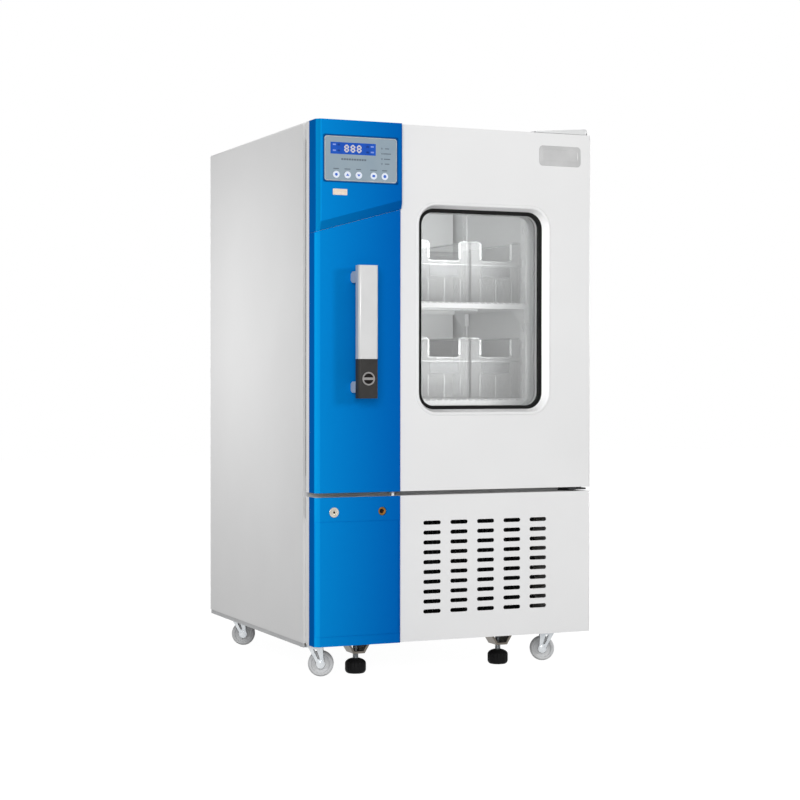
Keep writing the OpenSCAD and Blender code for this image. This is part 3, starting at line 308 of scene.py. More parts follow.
# opal polycarbonate over the chamber's light strip: white, and lit from within
opalCover = pattern(finish("opalPolycarbonate", IOR=1.58, Emission_Color=(1, 1, 1, 1), Emission_Strength=0.9),
                    ("#f2f2f2", "#fafafa"), 30, 1.5, 0.01, (0.4, 0.5))


def ink(name, tones, **sockets):  # screen print: a thin even film of colour with a soft edge grain
    return pattern(matt(name, IOR=1.5, **sockets), tones, 6, 0.4, 0.01, (0.4, 0.5))


digitLight = ink("litSegment", ("#bdb9bf", "#c9c5ca"), Emission_Color=linear("#f0eef4"),
                 Emission_Strength=0.08)
paleInk = ink("paleBlueInk", ("#7f97df", "#8ea5e8"))
navyInk = ink("navyInk", ("#1b3a86", "#22438f"))
greyInk = ink("greyInk", ("#66717b", "#727d86"))
keyInk = ink("keyBlueInk", ("#3f68c8", "#4a72d0"))
# painted shade: a deep blue line for the shade in the control panel's groove
grooveShadeInk = ink("paintedGrooveShade", ("#0a4f8f", "#0e5797"))
creamFilm = ink("creamPolyesterLabel", ("#e9d6c4", "#f2e2d2"))
rimLacquer = ink("silverGreyLacquer", ("#b7bcbf", "#c6c9ca"))
lampResin = ink("greySignalResin", ("#7b8791", "#86929b"))
# painted shade: a near-black film laid in pockets, holes and sockets, where only shade falls
shadowPaint = ink("paintedRecessShade", ("#171514", "#211e1d"))

wearing = {
    powderCoat: ["outer_shell"],
    zincSheet: ["back_panel"],
    trayPaint: ["base_tray"],
    zincPlate: [n for n in nodes if n.startswith("fork_")],
    warmZincPaintedShade: ["base_brackets"],
    foam: ["insulation_foam", "door_core"],
    formedHips: ["inner_liner", "door_inner_liner", "evaporator_cover"],
    paintedSheet: ["lower_front_panel", "door_outer_panel", "window_frame"],
    blueAbs: ["lower_blue_cover", "door_blue_cover"],
    housingAbs: ["control_housing"],
    nickel: ["lower_lock_ring", "lower_lock_plug"],
    castZinc: ["handle_lock_plug"],
    stovedPaint: ["compressor", "condenser", "hinge_brackets"],
    millAluminium: ["evaporator"],
    filledNylon: ["fan_motor", "condenser_fan", "power_inlet", "door_hinge_bushes"],
    dipCoat: ["shelves", "shelf_supports"],
    greyAbs: ["hinge_cover"],
    softPvc: ["door_gasket"],
    epdm: ["window_seal"],
    floatGlass: ["window_glass"],
    overlayFilm: ["control_panel"],
    tintedAcrylic: ["display_window"],
    anodised: ["handle_bar"],
    blackNylon: ["handle_lock_block"],
    keyAbs: [n for n in nodes if n.startswith("key_")],
    drawerClear: [n for n in nodes if n.startswith("drawer_")],
    paleTread: [n for n in nodes if n.startswith("wheel_")],
}
for mat, names in wearing.items():
    for name in names:
        nodes[name].data.materials.clear()
        nodes[name].data.materials.append(mat)
dressed = {n for names in wearing.values() for n in names}
print("finishes set; without one:", sorted(set(nodes) - dressed))

# small rounded edges on what shows: width in millimetres
edges = {"door_outer_panel": 0.8, "lower_front_panel": 0.6, "outer_shell": 0.4, "handle_bar": 1.6,
         "handle_lock_block": 1.4, "control_housing": 0.7, "door_blue_cover": 0.7, "lower_blue_cover": 0.7,
         "hinge_cover": 1.0, "handle_lock_plug": 0.4, "lower_lock_ring": 0.5}
rounded = {"merge": 0.00001, "segments": 2, "above": 40}
for name, width in edges.items():
    weld = nodes[name].modifiers.new("mergedCorners", "WELD")
    weld.merge_threshold = rounded["merge"]
    rounding = nodes[name].modifiers.new("roundedEdges", "BEVEL")
    rounding.width, rounding.segments, rounding.limit_method = width / 1000, rounded["segments"], "ANGLE"
    rounding.angle_limit = math.radians(rounded["above"])
    rounding.harden_normals = True


# pieces of the scene: outlines in millimetres seen from the front, lofted into closed skins
def roundedRect(x, z, w, h, r, steps=4):
    points = []
    for sx, sz, start in ((1, 1, 0), (-1, 1, 90), (-1, -1, 180), (1, -1, 270)):
        for i in range(steps + 1):
            a = math.radians(start + 90 * i / steps)
            points.append((x + sx * (w / 2 - r) + r * math.cos(a), z + sz * (h / 2 - r) + r * math.sin(a)))
    return points


def disc(x, z, r, count=24):
    turn = 2 * math.pi / count
    return [(x + r * math.cos(i * turn), z + r * math.sin(i * turn)) for i in range(count)]


def loft(bm, rings):  # closed skin over rings that have the same number of points
    loops = [[bm.verts.new(p) for p in ring] for ring in rings]
    for a, b in zip(loops, loops[1:]):
        for i in range(len(a)):
            bm.faces.new((a[i - 1], a[i], b[i], b[i - 1]))
    bm.faces.new(loops[0][::-1])
    bm.faces.new(loops[-1])


def frontPlate(bm, *layers):  # outlines from the back to the front, each with its depth
    loft(bm, [[at(x, y, z) for x, z in outline] for outline, y in layers])


def piece(name, bm, mat, body, smoothBelow=35):
    bmesh.ops.recalc_face_normals(bm, faces=bm.faces)
    mesh = bpy.data.meshes.new(name)
    bm.to_mesh(mesh)
    bm.free()
    mesh.shade_smooth()
    mesh.set_sharp_from_angle(angle=math.radians(smoothBelow))
    mesh.materials.append(mat)
    obj = bpy.data.objects.new(name, mesh)
    scene.collection.objects.link(obj)
    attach(obj, body)
    return obj


# blank badge plate at the door's upper right: bowed above and below, with wide slopes round a flat middle
badge = {"x": 213.7, "z": 963, "w": 87.5, "h": 45, "bow": 5, "proud": 3.2, "rim": 1.0, "slope": 7,
         "slopeBelow": 2.5, "corner": 6, "innerCorner": 4, "middleCorner": 3.6, "bevel": 0.5, "dip": 0.7}
doorFace, housingFace, plateSunk = -56, -69, 0.1


def bowed(w, h, lift, corner):
    flat = h - 2 * badge["bow"]
    points = roundedRect(0, 0, w, flat, corner, steps=6)
    middle = [(x, z + badge["bow"] * z / (flat / 2) * (1 - (2 * x / w) ** 2)) for x, z in points]
    return [(badge["x"] + x, badge["z"] + lift + z) for x, z in middle]


bm = bmesh.new()
w, h, bevel = badge["w"], badge["h"], badge["bevel"]
innerW, innerH = w - 2 * badge["slope"], h - 2 * badge["slope"] - badge["slopeBelow"]
lift, dip = badge["slopeBelow"] / 2, badge["dip"]
rimFace, topFace = doorFace - badge["rim"], doorFace - badge["proud"]
frontPlate(bm, (bowed(w, h, 0, badge["corner"]), doorFace + plateSunk),
           (bowed(w, h, 0, badge["corner"]), rimFace),
           (bowed(w - 2 * bevel, h - 2 * bevel, 0, badge["corner"]), rimFace - bevel),
           (bowed(innerW, innerH, lift, badge["innerCorner"]), topFace),
           (bowed(innerW - 2 * dip, innerH - 2 * dip, lift, badge["middleCorner"]), topFace + bevel))
piece("badgePlate", bm, brushedPlate, "door", smoothBelow=12)

# small blank plate under the control panel
tag = {"x": -235.7, "z": 877, "w": 27.6, "h": 10.9, "thick": 0.7, "corner": 1.2, "bevel": 0.2, "inset": 0.6}
bm = bmesh.new()
outline = roundedRect(tag["x"], tag["z"], tag["w"], tag["h"], tag["corner"])
small = roundedRect(tag["x"], tag["z"], tag["w"] - tag["inset"], tag["h"] - tag["inset"],
                    tag["corner"] - tag["bevel"])
frontPlate(bm, (outline, housingFace + plateSunk), (outline, housingFace - tag["thick"] + tag["bevel"]),
           (small, housingFace - tag["thick"]))
piece("tagPlate", bm, creamFilm, "door")
print("plates made")

# display: three lit digits of seven segments, and small marks beside them
digits = {"count": 3, "left": -227.6, "low": 947.8, "w": 9.4, "h": 13.8, "pitch": 12.0, "stroke": 1.5,
          "gap": 0.2}
displayFront, panelFace, keyFront = -68.6, -68.4, -69.4
inkThick, inkSunk = 0.12, 0.05


def inked(bm, outline, face):  # a thin print on a face
    frontPlate(bm, (outline, face + inkSunk), (outline, face - inkThick))


def segmentOutline(a, b, half):  # a bar from a to b with pointed ends
    (ax, az), (bx, bz) = a, b
    ux, uz = (1, 0) if az == bz else (0, 1)
    nx, nz = -uz * half, ux * half
    return [(ax, az), (ax + ux * half - nx, az + uz * half - nz), (bx - ux * half - nx, bz - uz * half - nz),
            (bx, bz), (bx - ux * half + nx, bz - uz * half + nz), (ax + ux * half + nx, az + uz * half + nz)]


bm = bmesh.new()
s, g = digits["stroke"], digits["gap"]
for k in range(digits["count"]):
    left = digits["left"] + k * digits["pitch"]
    x0, x1 = left + s, left + digits["w"] - s
    z0, z2 = digits["low"] + s, digits["low"] + digits["h"] - s
    z1 = (z0 + z2) / 2
    segments = [((x0 + g, z2), (x1 - g, z2)), ((x1, z1 + g), (x1, z2 - g)), ((x1, z0 + g), (x1, z1 - g)),
                ((x0 + g, z0), (x1 - g, z0)), ((x0, z0 + g), (x0, z1 - g)), ((x0, z1 + g), (x0, z2 - g)),
                ((x0 + g, z1), (x1 - g, z1))]
    for start, end in segments:
        inked(bm, segmentOutline(start, end, s), displayFront)
piece("displayDigits", bm, digitLight, "door")


def printed(name, marks, face, mat, body):  # plain bars: x, z, width, height
    bm = bmesh.new()
    for x, z, w, h in marks:
        inked(bm, roundedRect(x, z, w, h, min(w, h) * 0.3, steps=3), face)
    piece(name, bm, mat, body)


printed("displayMarks", [(-246.5, 961, 6, 2.6), (-246.5, 950.5, 6, 2.6), (-173.5, 960, 6, 2.6),
                         (-173.5, 950, 6, 2.6)], displayFront, paleInk, "door")
printed("displayIcons", [(-238, 961, 5, 3.4), (-238, 950.5, 5, 3.4), (-182.5, 959.5, 5, 3.4),
                         (-182.5, 949.5, 5, 3.4)], displayFront, navyInk, "door")
keysAt = {"key_1": -242.9, "key_2": -221.3, "key_3": -199.7, "key_4": -170.9, "key_5": -149.3}
keyRow = 907.9
lampsAt = (957.8, 948.7, 939.1, 930.5)
caption = [(-231.2 + 4.9 * i, 935.6, 4.1, 3.4) for i in range(10)]
labels = [(x, 918.3, w, 1.8) for x, w in zip(keysAt.values(), (11, 11.5, 9, 13, 10))]
beside = [(-144.6, z, w, 1.8) for z, w in zip(lampsAt, (8, 15, 12, 9))]
printed("panelMarks", caption + labels + beside, panelFace, greyInk, "door")

keyMarks = {
    "key_1": disc(keysAt["key_1"], keyRow, 2.6),
    "key_2": [(-224.5, 906.2), (-218.1, 906.2), (-221.3, 910.4)],
    "key_3": [(-202.9, 909.6), (-199.7, 905.4), (-196.5, 909.6)],
    "key_4": roundedRect(keysAt["key_4"], keyRow, 5.2, 4.2, 0.8),
    "key_5": disc(keysAt["key_5"], keyRow, 2.9),
}
for key, outline in keyMarks.items():
    bm = bmesh.new()
    inked(bm, outline, keyFront)
    piece(key + "_mark", bm, keyInk, key)
print("display, panel marks and key marks made")

# rosette: painted shade on the floors of its two pockets
rosette = {"x": -195.5, "z": 545, "r": 9.3, "bar": 2.25, "floor": -104.6, "thick": 0.3, "steps": 16}
bm = bmesh.new()
edge = math.asin(rosette["bar"] / rosette["r"])
arc = [edge + (math.pi - 2 * edge) * i / rosette["steps"] for i in range(rosette["steps"] + 1)]
for side in (1, -1):
    outline = [(rosette["x"] + rosette["r"] * math.cos(a), rosette["z"] + side * rosette["r"] * math.sin(a))
               for a in arc]
    frontPlate(bm, (outline, rosette["floor"] + inkSunk), (outline, rosette["floor"] - rosette["thick"]))
piece("rosettePockets", bm, shadowPaint, "handle_lock")

# lower lock: painted shade in the key hole
keyhole = {"x": -244.5, "z": 306.5, "radii": (1.95, 1.95, 1.2), "depths": (-61.55, -62.3, -62.6)}
bm = bmesh.new()
turned = zip(keyhole["radii"], keyhole["depths"])
frontPlate(bm, *[(disc(keyhole["x"], keyhole["z"], r), y) for r, y in turned])
piece("keyholeFloor", bm, shadowPaint, "lower_lock")

# brass fastener deep in the lower cover's second hole: a turned collar with a six-sided socket
port = {"x": -150.5, "z": 306.5, "r": 7.6, "socket": 4.4, "face": -60.4, "back": -56.0, "bevel": 0.8,
        "countersink": (0.7, 0.6), "bottom": 0.6, "play": 0.05, "floor": (0.5, 0.9)}
sinkWide, sinkDeep = port["countersink"]
bm = bmesh.new()
turned = [(port["r"], port["back"]), (port["r"], port["face"] + port["bevel"]),
          (port["r"] - port["bevel"], port["face"]), (port["socket"] + sinkWide, port["face"]),
          (port["socket"], port["face"] + sinkDeep), (port["socket"], port["back"] - port["bottom"])]
frontPlate(bm, *[(disc(port["x"], port["z"], r), y) for r, y in turned])
piece("portFastener", bm, brass, "cabinet")
# painted shade in the socket's six-sided hollow
bm = bmesh.new()
outline = disc(port["x"], port["z"], port["socket"] - port["play"], count=6)
frontPlate(bm, *[(outline, port["back"] - up) for up in port["floor"]])
piece("portSocket", bm, shadowPaint, "cabinet")

# white stop peg on the lower panel's top edge, under the door
peg = {"x": -125, "y": -49, "w": 5, "d": 6, "z": (332.95, 340.2), "bevel": 1, "corner": 1.4}


def pegRing(z, cut):
    outline = roundedRect(peg["x"], peg["y"], peg["w"] - 2 * cut, peg["d"] - 2 * cut, peg["corner"])
    return [at(x, y, z) for x, y in outline]


bm = bmesh.new()
bottom, top = peg["z"]
loft(bm, [pegRing(bottom, 0), pegRing(top - peg["bevel"], 0), pegRing(top, peg["bevel"])])
piece("stopPeg", bm, dipCoat, "cabinet")

# light bar under the chamber's roof, before the shelves
bar = {"x": (-190, 40), "y": 32, "w": 20, "roof": 950, "deep": 7, "foot": 1.5, "sunk": 0.05, "arcSteps": 12,
       "end": 10, "endHigh": 7.2, "endWider": 2, "endCorner": 2, "endCut": 1.2, "endBevel": 0.6}
bm = bmesh.new()
section = [(bar["y"] - bar["w"] / 2, bar["roof"] + bar["sunk"])]
for a in [math.radians(180 * i / bar["arcSteps"]) for i in range(bar["arcSteps"] + 1)]:
    section.append((bar["y"] - bar["w"] / 2 * math.cos(a),
                    bar["roof"] - bar["foot"] - (bar["deep"] - bar["foot"]) * math.sin(a)))
section.append((bar["y"] + bar["w"] / 2, bar["roof"] + bar["sunk"]))
loft(bm, [[at(x, y, z) for y, z in section] for x in bar["x"]])
piece("lightBar", bm, opalCover, "cabinet")


def endCap(x, cut):  # outline of an end cap at x, cut back all round
    outline = roundedRect(bar["y"], bar["roof"] - bar["endHigh"] / 2, bar["w"] + bar["endWider"] - cut,
                          bar["endHigh"] - cut, bar["endCorner"])
    return [at(x, y, z) for y, z in outline]


bm = bmesh.new()
cut, bevel = bar["endCut"], bar["endBevel"]
for start, stop in ((bar["x"][0] - bar["end"], bar["x"][0]), (bar["x"][1], bar["x"][1] + bar["end"])):
    loft(bm, [endCap(start, cut), endCap(start + bevel, 0), endCap(stop - bevel, 0), endCap(stop, cut)])
piece("lightBarEnds", bm, greyAbs, "cabinet")
print("small front pieces and chamber light made")


# trees for what repeats or follows a path
def newTree(name, sockets):
    tree = bpy.data.node_groups.new(name, "GeometryNodeTree")
    tree.interface.new_socket("Geometry", in_out="INPUT", socket_type="NodeSocketGeometry")
    for key, kind in sockets.items():
        tree.interface.new_socket(key, in_out="INPUT", socket_type="NodeSocket" + kind)
    tree.interface.new_socket("Geometry", in_out="OUTPUT", socket_type="NodeSocketGeometry")
    return tree, tree.nodes.new("NodeGroupInput").outputs


def times(tree, source, factor):
    return put(tree, "ShaderNodeMath", {1: factor}, {0: source}, operation="MULTIPLY").outputs[0]


def settle(tree, given, geometry):  # real meshes with their finish, as the tree's result
    real = put(tree, "GeometryNodeRealizeInstances", links={"Geometry": geometry})
    dressedUp = put(tree, "GeometryNodeSetMaterial",
                    links={"Geometry": real.outputs[0], "Material": given["Finish"]})
    put(tree, "NodeGroupOutput", links={"Geometry": dressedUp.outputs[0]})


twistStep = 1.1  # radians from one screw's slot to the next


def spread(tree, given, shape):  # the shape on every point, its top along the point's facing, each turned on
    facing = put(tree, "GeometryNodeInputNamedAttribute", {"Name": "facing"}, data_type="FLOAT_VECTOR")
    turned = put(tree, "FunctionNodeAlignRotationToVector", links={"Vector": facing.outputs["Attribute"]},
                 axis="Z")
    index = put(tree, "GeometryNodeInputIndex")
    angle = times(tree, index.outputs[0], twistStep)
    twist = put(tree, "FunctionNodeAxisAngleToRotation", {"Axis": (0, 0, 1)}, {"Angle": angle})
    both = put(tree, "FunctionNodeRotateRotation",
               links={"Rotation": turned.outputs[0], "Rotate By": twist.outputs[0]}, rotation_space="LOCAL")
    placed = put(tree, "GeometryNodeInstanceOnPoints",
                 links={"Points": given["Geometry"], "Instance": shape, "Rotation": both.outputs[0]})
    settle(tree, given, placed.outputs[0])


# pan-head screw with a cross recess
panScrew, given = newTree("panHeadScrew", {"Head Radius": "Float", "Head Height": "Float",
                                           "Drive Width": "Float", "Finish": "Material"})
screwShare = {"crown": 0.62, "drive": 1.05, "sides": 16}  # shares of the head's radius, and its facets
head = put(panScrew, "GeometryNodeMeshCone", {"Vertices": screwShare["sides"]},
           {"Radius Bottom": given["Head Radius"], "Depth": given["Head Height"],
            "Radius Top": times(panScrew, given["Head Radius"], screwShare["crown"])})
driveLong = times(panScrew, given["Head Radius"], screwShare["drive"])
driveSize = put(panScrew, "ShaderNodeCombineXYZ",
                links={0: driveLong, 1: given["Drive Width"], 2: given["Head Height"]})
driveBar = put(panScrew, "GeometryNodeMeshCube", links={"Size": driveSize.outputs[0]})
driveUp = put(panScrew, "ShaderNodeCombineXYZ", links={2: given["Head Height"]})
recess = put(panScrew, "GeometryNodeMeshBoolean", links={"Mesh 1": head.outputs["Mesh"]},
             operation="DIFFERENCE")
for quarter in (0, math.pi / 2):
    arm = put(panScrew, "GeometryNodeTransform", {"Rotation": (0, 0, quarter)},
              {"Geometry": driveBar.outputs["Mesh"], "Translation": driveUp.outputs[0]})
    panScrew.links.new(arm.outputs[0], recess.inputs["Mesh 2"])
spread(panScrew, given, recess.outputs["Mesh"])

# hex nut on its washer, with the bolt's end standing out of it
hexNut, given = newTree("hexNutOnWasher", {"Nut Radius": "Float", "Nut Height": "Float",
                                           "Bolt Radius": "Float", "Finish": "Material"})
nutStack = {  # facets, and radius, height and lift as shares of the nut's; the bolt has its own radius
    "washer": (20, 1.28, 0.22, 0.11),
    "nut": (6, 1.0, 1.0, 0.5),
    "bolt": (14, None, 1.35, 0.67),
}
stackUp = put(hexNut, "GeometryNodeJoinGeometry")
for sides, radius, height, lift in nutStack.values():
    wide = times(hexNut, given["Nut Radius"], radius) if radius else given["Bolt Radius"]
    deep = times(hexNut, given["Nut Height"], height)
    upBy = put(hexNut, "ShaderNodeCombineXYZ", links={2: times(hexNut, given["Nut Height"], lift)})
    layer = put(hexNut, "GeometryNodeMeshCylinder", {"Vertices": sides}, {"Radius": wide, "Depth": deep})
    moved = put(hexNut, "GeometryNodeTransform",
                links={"Geometry": layer.outputs["Mesh"], "Translation": upBy.outputs[0]})
    hexNut.links.new(moved.outputs[0], stackUp.inputs[0])
spread(hexNut, given, stackUp.outputs[0])

# low dome of a signal lamp
signalDome, given = newTree("signalDome", {"Dome Radius": "Float", "Finish": "Material"})
domeLow = 0.45
ball = put(signalDome, "GeometryNodeMeshUVSphere", {"Segments": 14, "Rings": 8},
           {"Radius": given["Dome Radius"]})
low = put(signalDome, "GeometryNodeTransform", {"Scale": (1, 1, domeLow)}, {"Geometry": ball.outputs["Mesh"]})
soft = put(signalDome, "GeometryNodeSetShadeSmooth", links={"Geometry": low.outputs[0]})
spread(signalDome, given, soft.outputs[0])

# round bead along a path
bead, given = newTree("beadAlongPath", {"Bead Radius": "Float", "Corner Radius": "Float",
                                        "Finish": "Material"})
line = put(bead, "GeometryNodeMeshToCurve", links={"Mesh": given["Geometry"]})
bent = put(bead, "GeometryNodeFilletCurve", {"Count": 5, "Limit Radius": True},
           {"Curve": line.outputs[0], "Radius": given["Corner Radius"]}, mode="POLY")
ring = put(bead, "GeometryNodeCurvePrimitiveCircle", {"Resolution": 8}, {"Radius": given["Bead Radius"]},
           mode="RADIUS")
tube = put(bead, "GeometryNodeCurveToMesh", {"Fill Caps": True},
           {"Curve": bent.outputs[0], "Profile Curve": ring.outputs["Curve"]})
soft = put(bead, "GeometryNodeSetShadeSmooth", links={"Geometry": tube.outputs[0]})
settle(bead, given, soft.outputs[0])


def grown(name, tree, points, inputs, facings=None, edges=()):  # the tree's result as a plain mesh
    base = bpy.data.meshes.new(name)
    base.from_pydata(points, edges, [])
    if facings:
        field = base.attributes.new("facing", "FLOAT_VECTOR", "POINT")
        field.data.foreach_set("vector", [c for f in facings for c in f])
    obj = bpy.data.objects.new(name, base)
    maker = obj.modifiers.new("maker", "NODES")
    maker.node_group = tree
    for item in tree.interface.items_tree:
        if item.in_out == "INPUT" and item.name in inputs:
            maker[item.identifier] = inputs[item.name]
    scene.collection.objects.link(obj)
    result = bpy.data.meshes.new_from_object(obj.evaluated_get(bpy.context.evaluated_depsgraph_get()))
    obj.modifiers.clear()
    obj.data = result
    return obj


def ridden(obj, body):
    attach(obj, body)


def closedBead(name, path, radius, mat, corner=0.0):
    wire = {"Bead Radius": radius, "Corner Radius": corner, "Finish": mat}
    return grown(name, bead, path, wire, edges=[(i, (i + 1) % len(path)) for i in range(len(path))])


# screws: back panel, evaporator cover, hinge cover
sheetScrew = {"Head Radius": 0.0042, "Head Height": 0.0022, "Drive Width": 0.0011, "Finish": zincPlate}


def screws(name, points, facing):
    ridden(grown(name, panScrew, points, sheetScrew, [facing] * len(points)), "cabinet")


backSheet = {"face": 546, "side": 268, "heights": range(110, 1000, 175), "across": range(-180, 181, 90),
             "rows": (78, 996)}
backAt = [(sx * backSheet["side"], z) for sx in (-1, 1) for z in backSheet["heights"]]
backAt += [(x, z) for x in backSheet["across"] for z in backSheet["rows"]]
screws("backScrews", [at(x, backSheet["face"], z) for x, z in backAt], (0, 1, 0))
low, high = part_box("evaporator_cover")
inset = 0.012
coverAt = [(x, low.y, z) for x in (low.x + inset, 0, high.x - inset) for z in (low.z + inset, high.z - inset)]
screws("coverScrews", coverAt, (0, -1, 0))
hingeScrew = {"place": (236, 44, 1014.75), "facing": (-0.081, 0, 0.997)}  # square to the cover's sloping top
screws("hingeCoverScrew", [at(*hingeScrew["place"])], hingeScrew["facing"])

# casters: bolts through the plates, nuts on the axles, a bead round each race
swivels = {"front_left": (-251, 41, 0), "front_right": (251, 41, 180), "rear_left": (-251, 482, 0),
           "rear_right": (251, 482, 180)}
caster = {"turn": 23.5, "trail": 20, "axleHigh": 23.5, "forkOut": 13.1, "plateLow": 63, "raceLow": 57.85,
          "raceRadius": 19.2, "raceSteps": 32, "raceBead": 0.0016, "boltsX": (-18, 18), "boltsY": (-34, 38)}
plateBolt = {"Nut Radius": 0.0052, "Nut Height": 0.0034, "Bolt Radius": 0.0028, "Finish": zincPlate}
axleNut = {"Nut Radius": 0.0062, "Nut Height": 0.0030, "Bolt Radius": 0.0040, "Finish": zincPlate}
boltsAt = [at(x + dx, y + dy, caster["plateLow"]) for x, y, _ in swivels.values()
           for dx in caster["boltsX"] for dy in caster["boltsY"]]
bolts = grown("casterBolts", hexNut, boltsAt, plateBolt, [(0, 0, -1)] * len(boltsAt))
ridden(bolts, "cabinet")
for corner, (x, y, spin) in swivels.items():
    a = math.radians(spin - caster["turn"])
    ahead, across = Vector((math.cos(a), math.sin(a), 0)), Vector((-math.sin(a), math.cos(a), 0))
    centre = at(x, y, caster["axleHigh"]) + ahead * caster["trail"] / 1000
    nutsAt = [centre + across * side * caster["forkOut"] / 1000 for side in (-1, 1)]
    nuts = grown("axleNuts_" + corner, hexNut, nutsAt, axleNut, [tuple(across * side) for side in (-1, 1)])
    ridden(nuts, "caster_" + corner)
    race = [at(px, py, caster["raceLow"]) for px, py in disc(x, y, caster["raceRadius"], caster["raceSteps"])]
    ridden(closedBead("raceBead_" + corner, race, caster["raceBead"], zincPlate), "cabinet")

# control panel: signal lamps, silver rim, and a deep blue line of painted shade in the groove round it
panel = {"x": -195.5, "z": 936.5, "w": 140, "h": 80, "corner": 5, "proud": 0.2, "lampsX": -154.6,
         "lampRadius": 0.0016}
signals = grown("signalLamps", signalDome, [at(panel["lampsX"], panelFace, z) for z in lampsAt],
                {"Dome Radius": panel["lampRadius"], "Finish": lampResin}, [(0, -1, 0)] * len(lampsAt))
ridden(signals, "door")
for name, grow, radius, mat in (("panelRim", -1.2, 0.0009, rimLacquer), ("panelGrooveShade", 1.2, 0.0012, grooveShadeInk)):
    outline = roundedRect(panel["x"], panel["z"], panel["w"] + 2 * grow, panel["h"] + 2 * grow,
                          panel["corner"] + grow, steps=6)
    path = [at(x, panelFace - panel["proud"], z) for x, z in outline]
    ridden(closedBead(name, path, radius, mat), "door")

# drawers: bead along the rim and round the hand cut, ledge, ribs and card holder on the front
drawer = {"w": 108, "h": 118, "t": 2.6, "pitch": 111, "front": 122, "cutW": 68, "cutH": 38, "ledge": 73,
          "card": (60, 20, 60), "cardThick": 0.6, "cardCorner": 1.5, "ribs": (-34, 0, 34), "ribCorner": 0.7,
          "ribBevel": 0.4, "rimBead": 0.0016, "rimCorner": 0.006, "cheekBead": 0.0024, "cheekIn": 1,
          "cheekEnds": (5, 3)}
shelfTops = {"upper": 693.3, "lower": 506.3}
cheekWire = {"Bead Radius": drawer["cheekBead"], "Corner Radius": 0.0, "Finish": cheekHaze}
# width, height, place across and up, and depth of the ledge and the ribs
bars = [(drawer["w"] - 1, 2.2, 0, drawer["ledge"], 2.2)] + [(2.0, 44, rx, 24, 1.2) for rx in drawer["ribs"]]
for row, base in shelfTops.items():
    for column in range(1, 5):
        name = f"drawer_{row}_{column}"
        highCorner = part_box(name)[1]
        x = (column - 2.5) * drawer["pitch"]
        t = drawer["t"] / 2
        left, right = x - drawer["w"] / 2 + t, x + drawer["w"] / 2 - t
        cutLeft, cutRight = x - drawer["cutW"] / 2, x + drawer["cutW"] / 2
        front, back = drawer["front"] + t, (highCorner.y - frontPlane) * 1000 - t
        top, dip = base + drawer["h"], base + drawer["h"] - drawer["cutH"]
        path = [at(left, back, top), at(left, front, top), at(cutLeft, front, top), at(cutLeft, front, dip),
                at(cutRight, front, dip), at(cutRight, front, top), at(right, front, top),
                at(right, back, top)]
        rim = closedBead(name + "_rim", path, drawer["rimBead"], drawerEdge, drawer["rimCorner"])
        ridden(rim, name)
        above, below = drawer["cheekEnds"]
        sides = [at(sx, front, z) for sx in (cutLeft + drawer["cheekIn"], cutRight - drawer["cheekIn"])
                 for z in (dip + above, top - below)]
        cheeks = grown(name + "_cheeks", bead, sides, cheekWire, edges=[(0, 1), (2, 3)])
        ridden(cheeks, name)
        bm = bmesh.new()
        wall, bevel = drawer["front"], drawer["ribBevel"]
        for w, h, cx, cz, proud in bars:
            outline = roundedRect(x + cx, base + cz, w, h, drawer["ribCorner"], steps=2)
            small = roundedRect(x + cx, base + cz, w - 2 * bevel, h - 2 * bevel, bevel, steps=2)
            face = wall - proud
            frontPlate(bm, (outline, wall + plateSunk), (outline, face + bevel), (small, face))
        piece(name + "_ribs", bm, drawerEdge, name)
        bm = bmesh.new()
        w, h, cz = drawer["card"]
        outline = roundedRect(x, base + cz, w, h, drawer["cardCorner"], steps=3)
        frontPlate(bm, (outline, wall + inkSunk), (outline, wall - drawer["cardThick"]))
        piece(name + "_card", bm, cardStock, name)
print("drawer trims made")

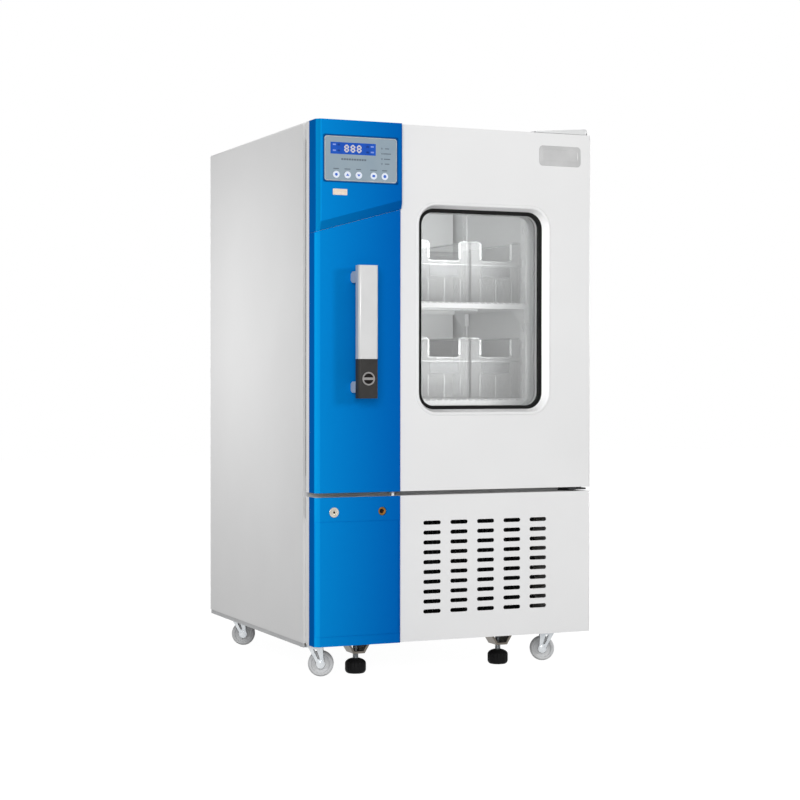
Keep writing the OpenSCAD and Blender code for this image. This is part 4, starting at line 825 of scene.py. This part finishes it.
# levelling feet: ribbed nylon knob on a threaded zinc stem, in place of the plain solids
foot = {"h": 28, "stem": 5.5, "sunk": 0.5, "pitch": 1.75, "thread": 0.85, "stemTop": 82, "stepsPerTurn": 6,
        "stemSides": 24, "scallops": 12, "scallopDeep": 1.3, "scallopEnds": (3, 26), "scallopFade": 4,
        "knobSides": 96}
knobProfile = [(12.0, 0.0), (15.5, 0.4), (17.4, 1.8), (18.9, 4.2), (19.5, 6.6), (19.5, 18.6), (18.9, 20.8),
               (17.2, 23.2), (14.0, 25.4), (10.8, 26.8), (8.2, 27.6), (5.6, 28.0)]
# zinc on rolled threads: duller than the plates
zincThread = pattern(finish("zincPlatedThread", Metallic=1.0), ("#a4a8ab", "#bcc0c2"), 6, 0.5, 0.01,
                     (0.26, 0.38))
# moulded nylon of the knobs: black, matt
footNylon = pattern(matt("mouldedFootNylon", IOR=1.53), ("#151515", "#1d1d1e"), 20, 0.9, 0.05, (0.42, 0.56))


def scallop(a, z):  # narrow hollows between broad ribs, fading out to the sole and the crown
    wave = max(0.0, math.cos(foot["scallops"] * a)) ** 3
    start, end = foot["scallopEnds"]
    rise, fall = (min(1, max(0, reach / foot["scallopFade"])) for reach in (z - start, end - z))
    return foot["scallopDeep"] * wave * rise * fall


for side in ("left", "right"):
    body, node = "foot_" + side, f"foot_{side}_knob"
    low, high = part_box(node)
    x, y = (low.x + high.x) * 500, ((low.y + high.y) / 2 - frontPlane) * 1000
    angles = [2 * math.pi * i / foot["knobSides"] for i in range(foot["knobSides"])]
    rings = []
    for r, z in knobProfile:
        reaches = [(a, r - scallop(a, z)) for a in angles]
        rings.append([at(x + reach * math.cos(a), y + reach * math.sin(a), z) for a, reach in reaches])
    bm = bmesh.new()
    loft(bm, rings)
    knob = piece(f"foot_{side}_grip", bm, footNylon, body, smoothBelow=50)
    rings = []
    start, step = foot["h"] - foot["sunk"], foot["pitch"] / foot["stepsPerTurn"]
    for k in range(int((foot["stemTop"] - start) / step) + 1):
        z = start + k * step
        ring = []
        for i in range(foot["stemSides"]):
            a = 2 * math.pi * i / foot["stemSides"]
            phase = (z / foot["pitch"] - i / foot["stemSides"]) % 1
            r = foot["stem"] - foot["thread"] * abs(2 * phase - 1)
            ring.append(at(x + r * math.cos(a), y + r * math.sin(a), min(z, foot["stemTop"])))
        rings.append(ring)
    bm = bmesh.new()
    loft(bm, rings)
    piece(f"foot_{side}_stem", bm, zincThread, body, smoothBelow=60)
    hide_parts(node)
print("levelling feet made")
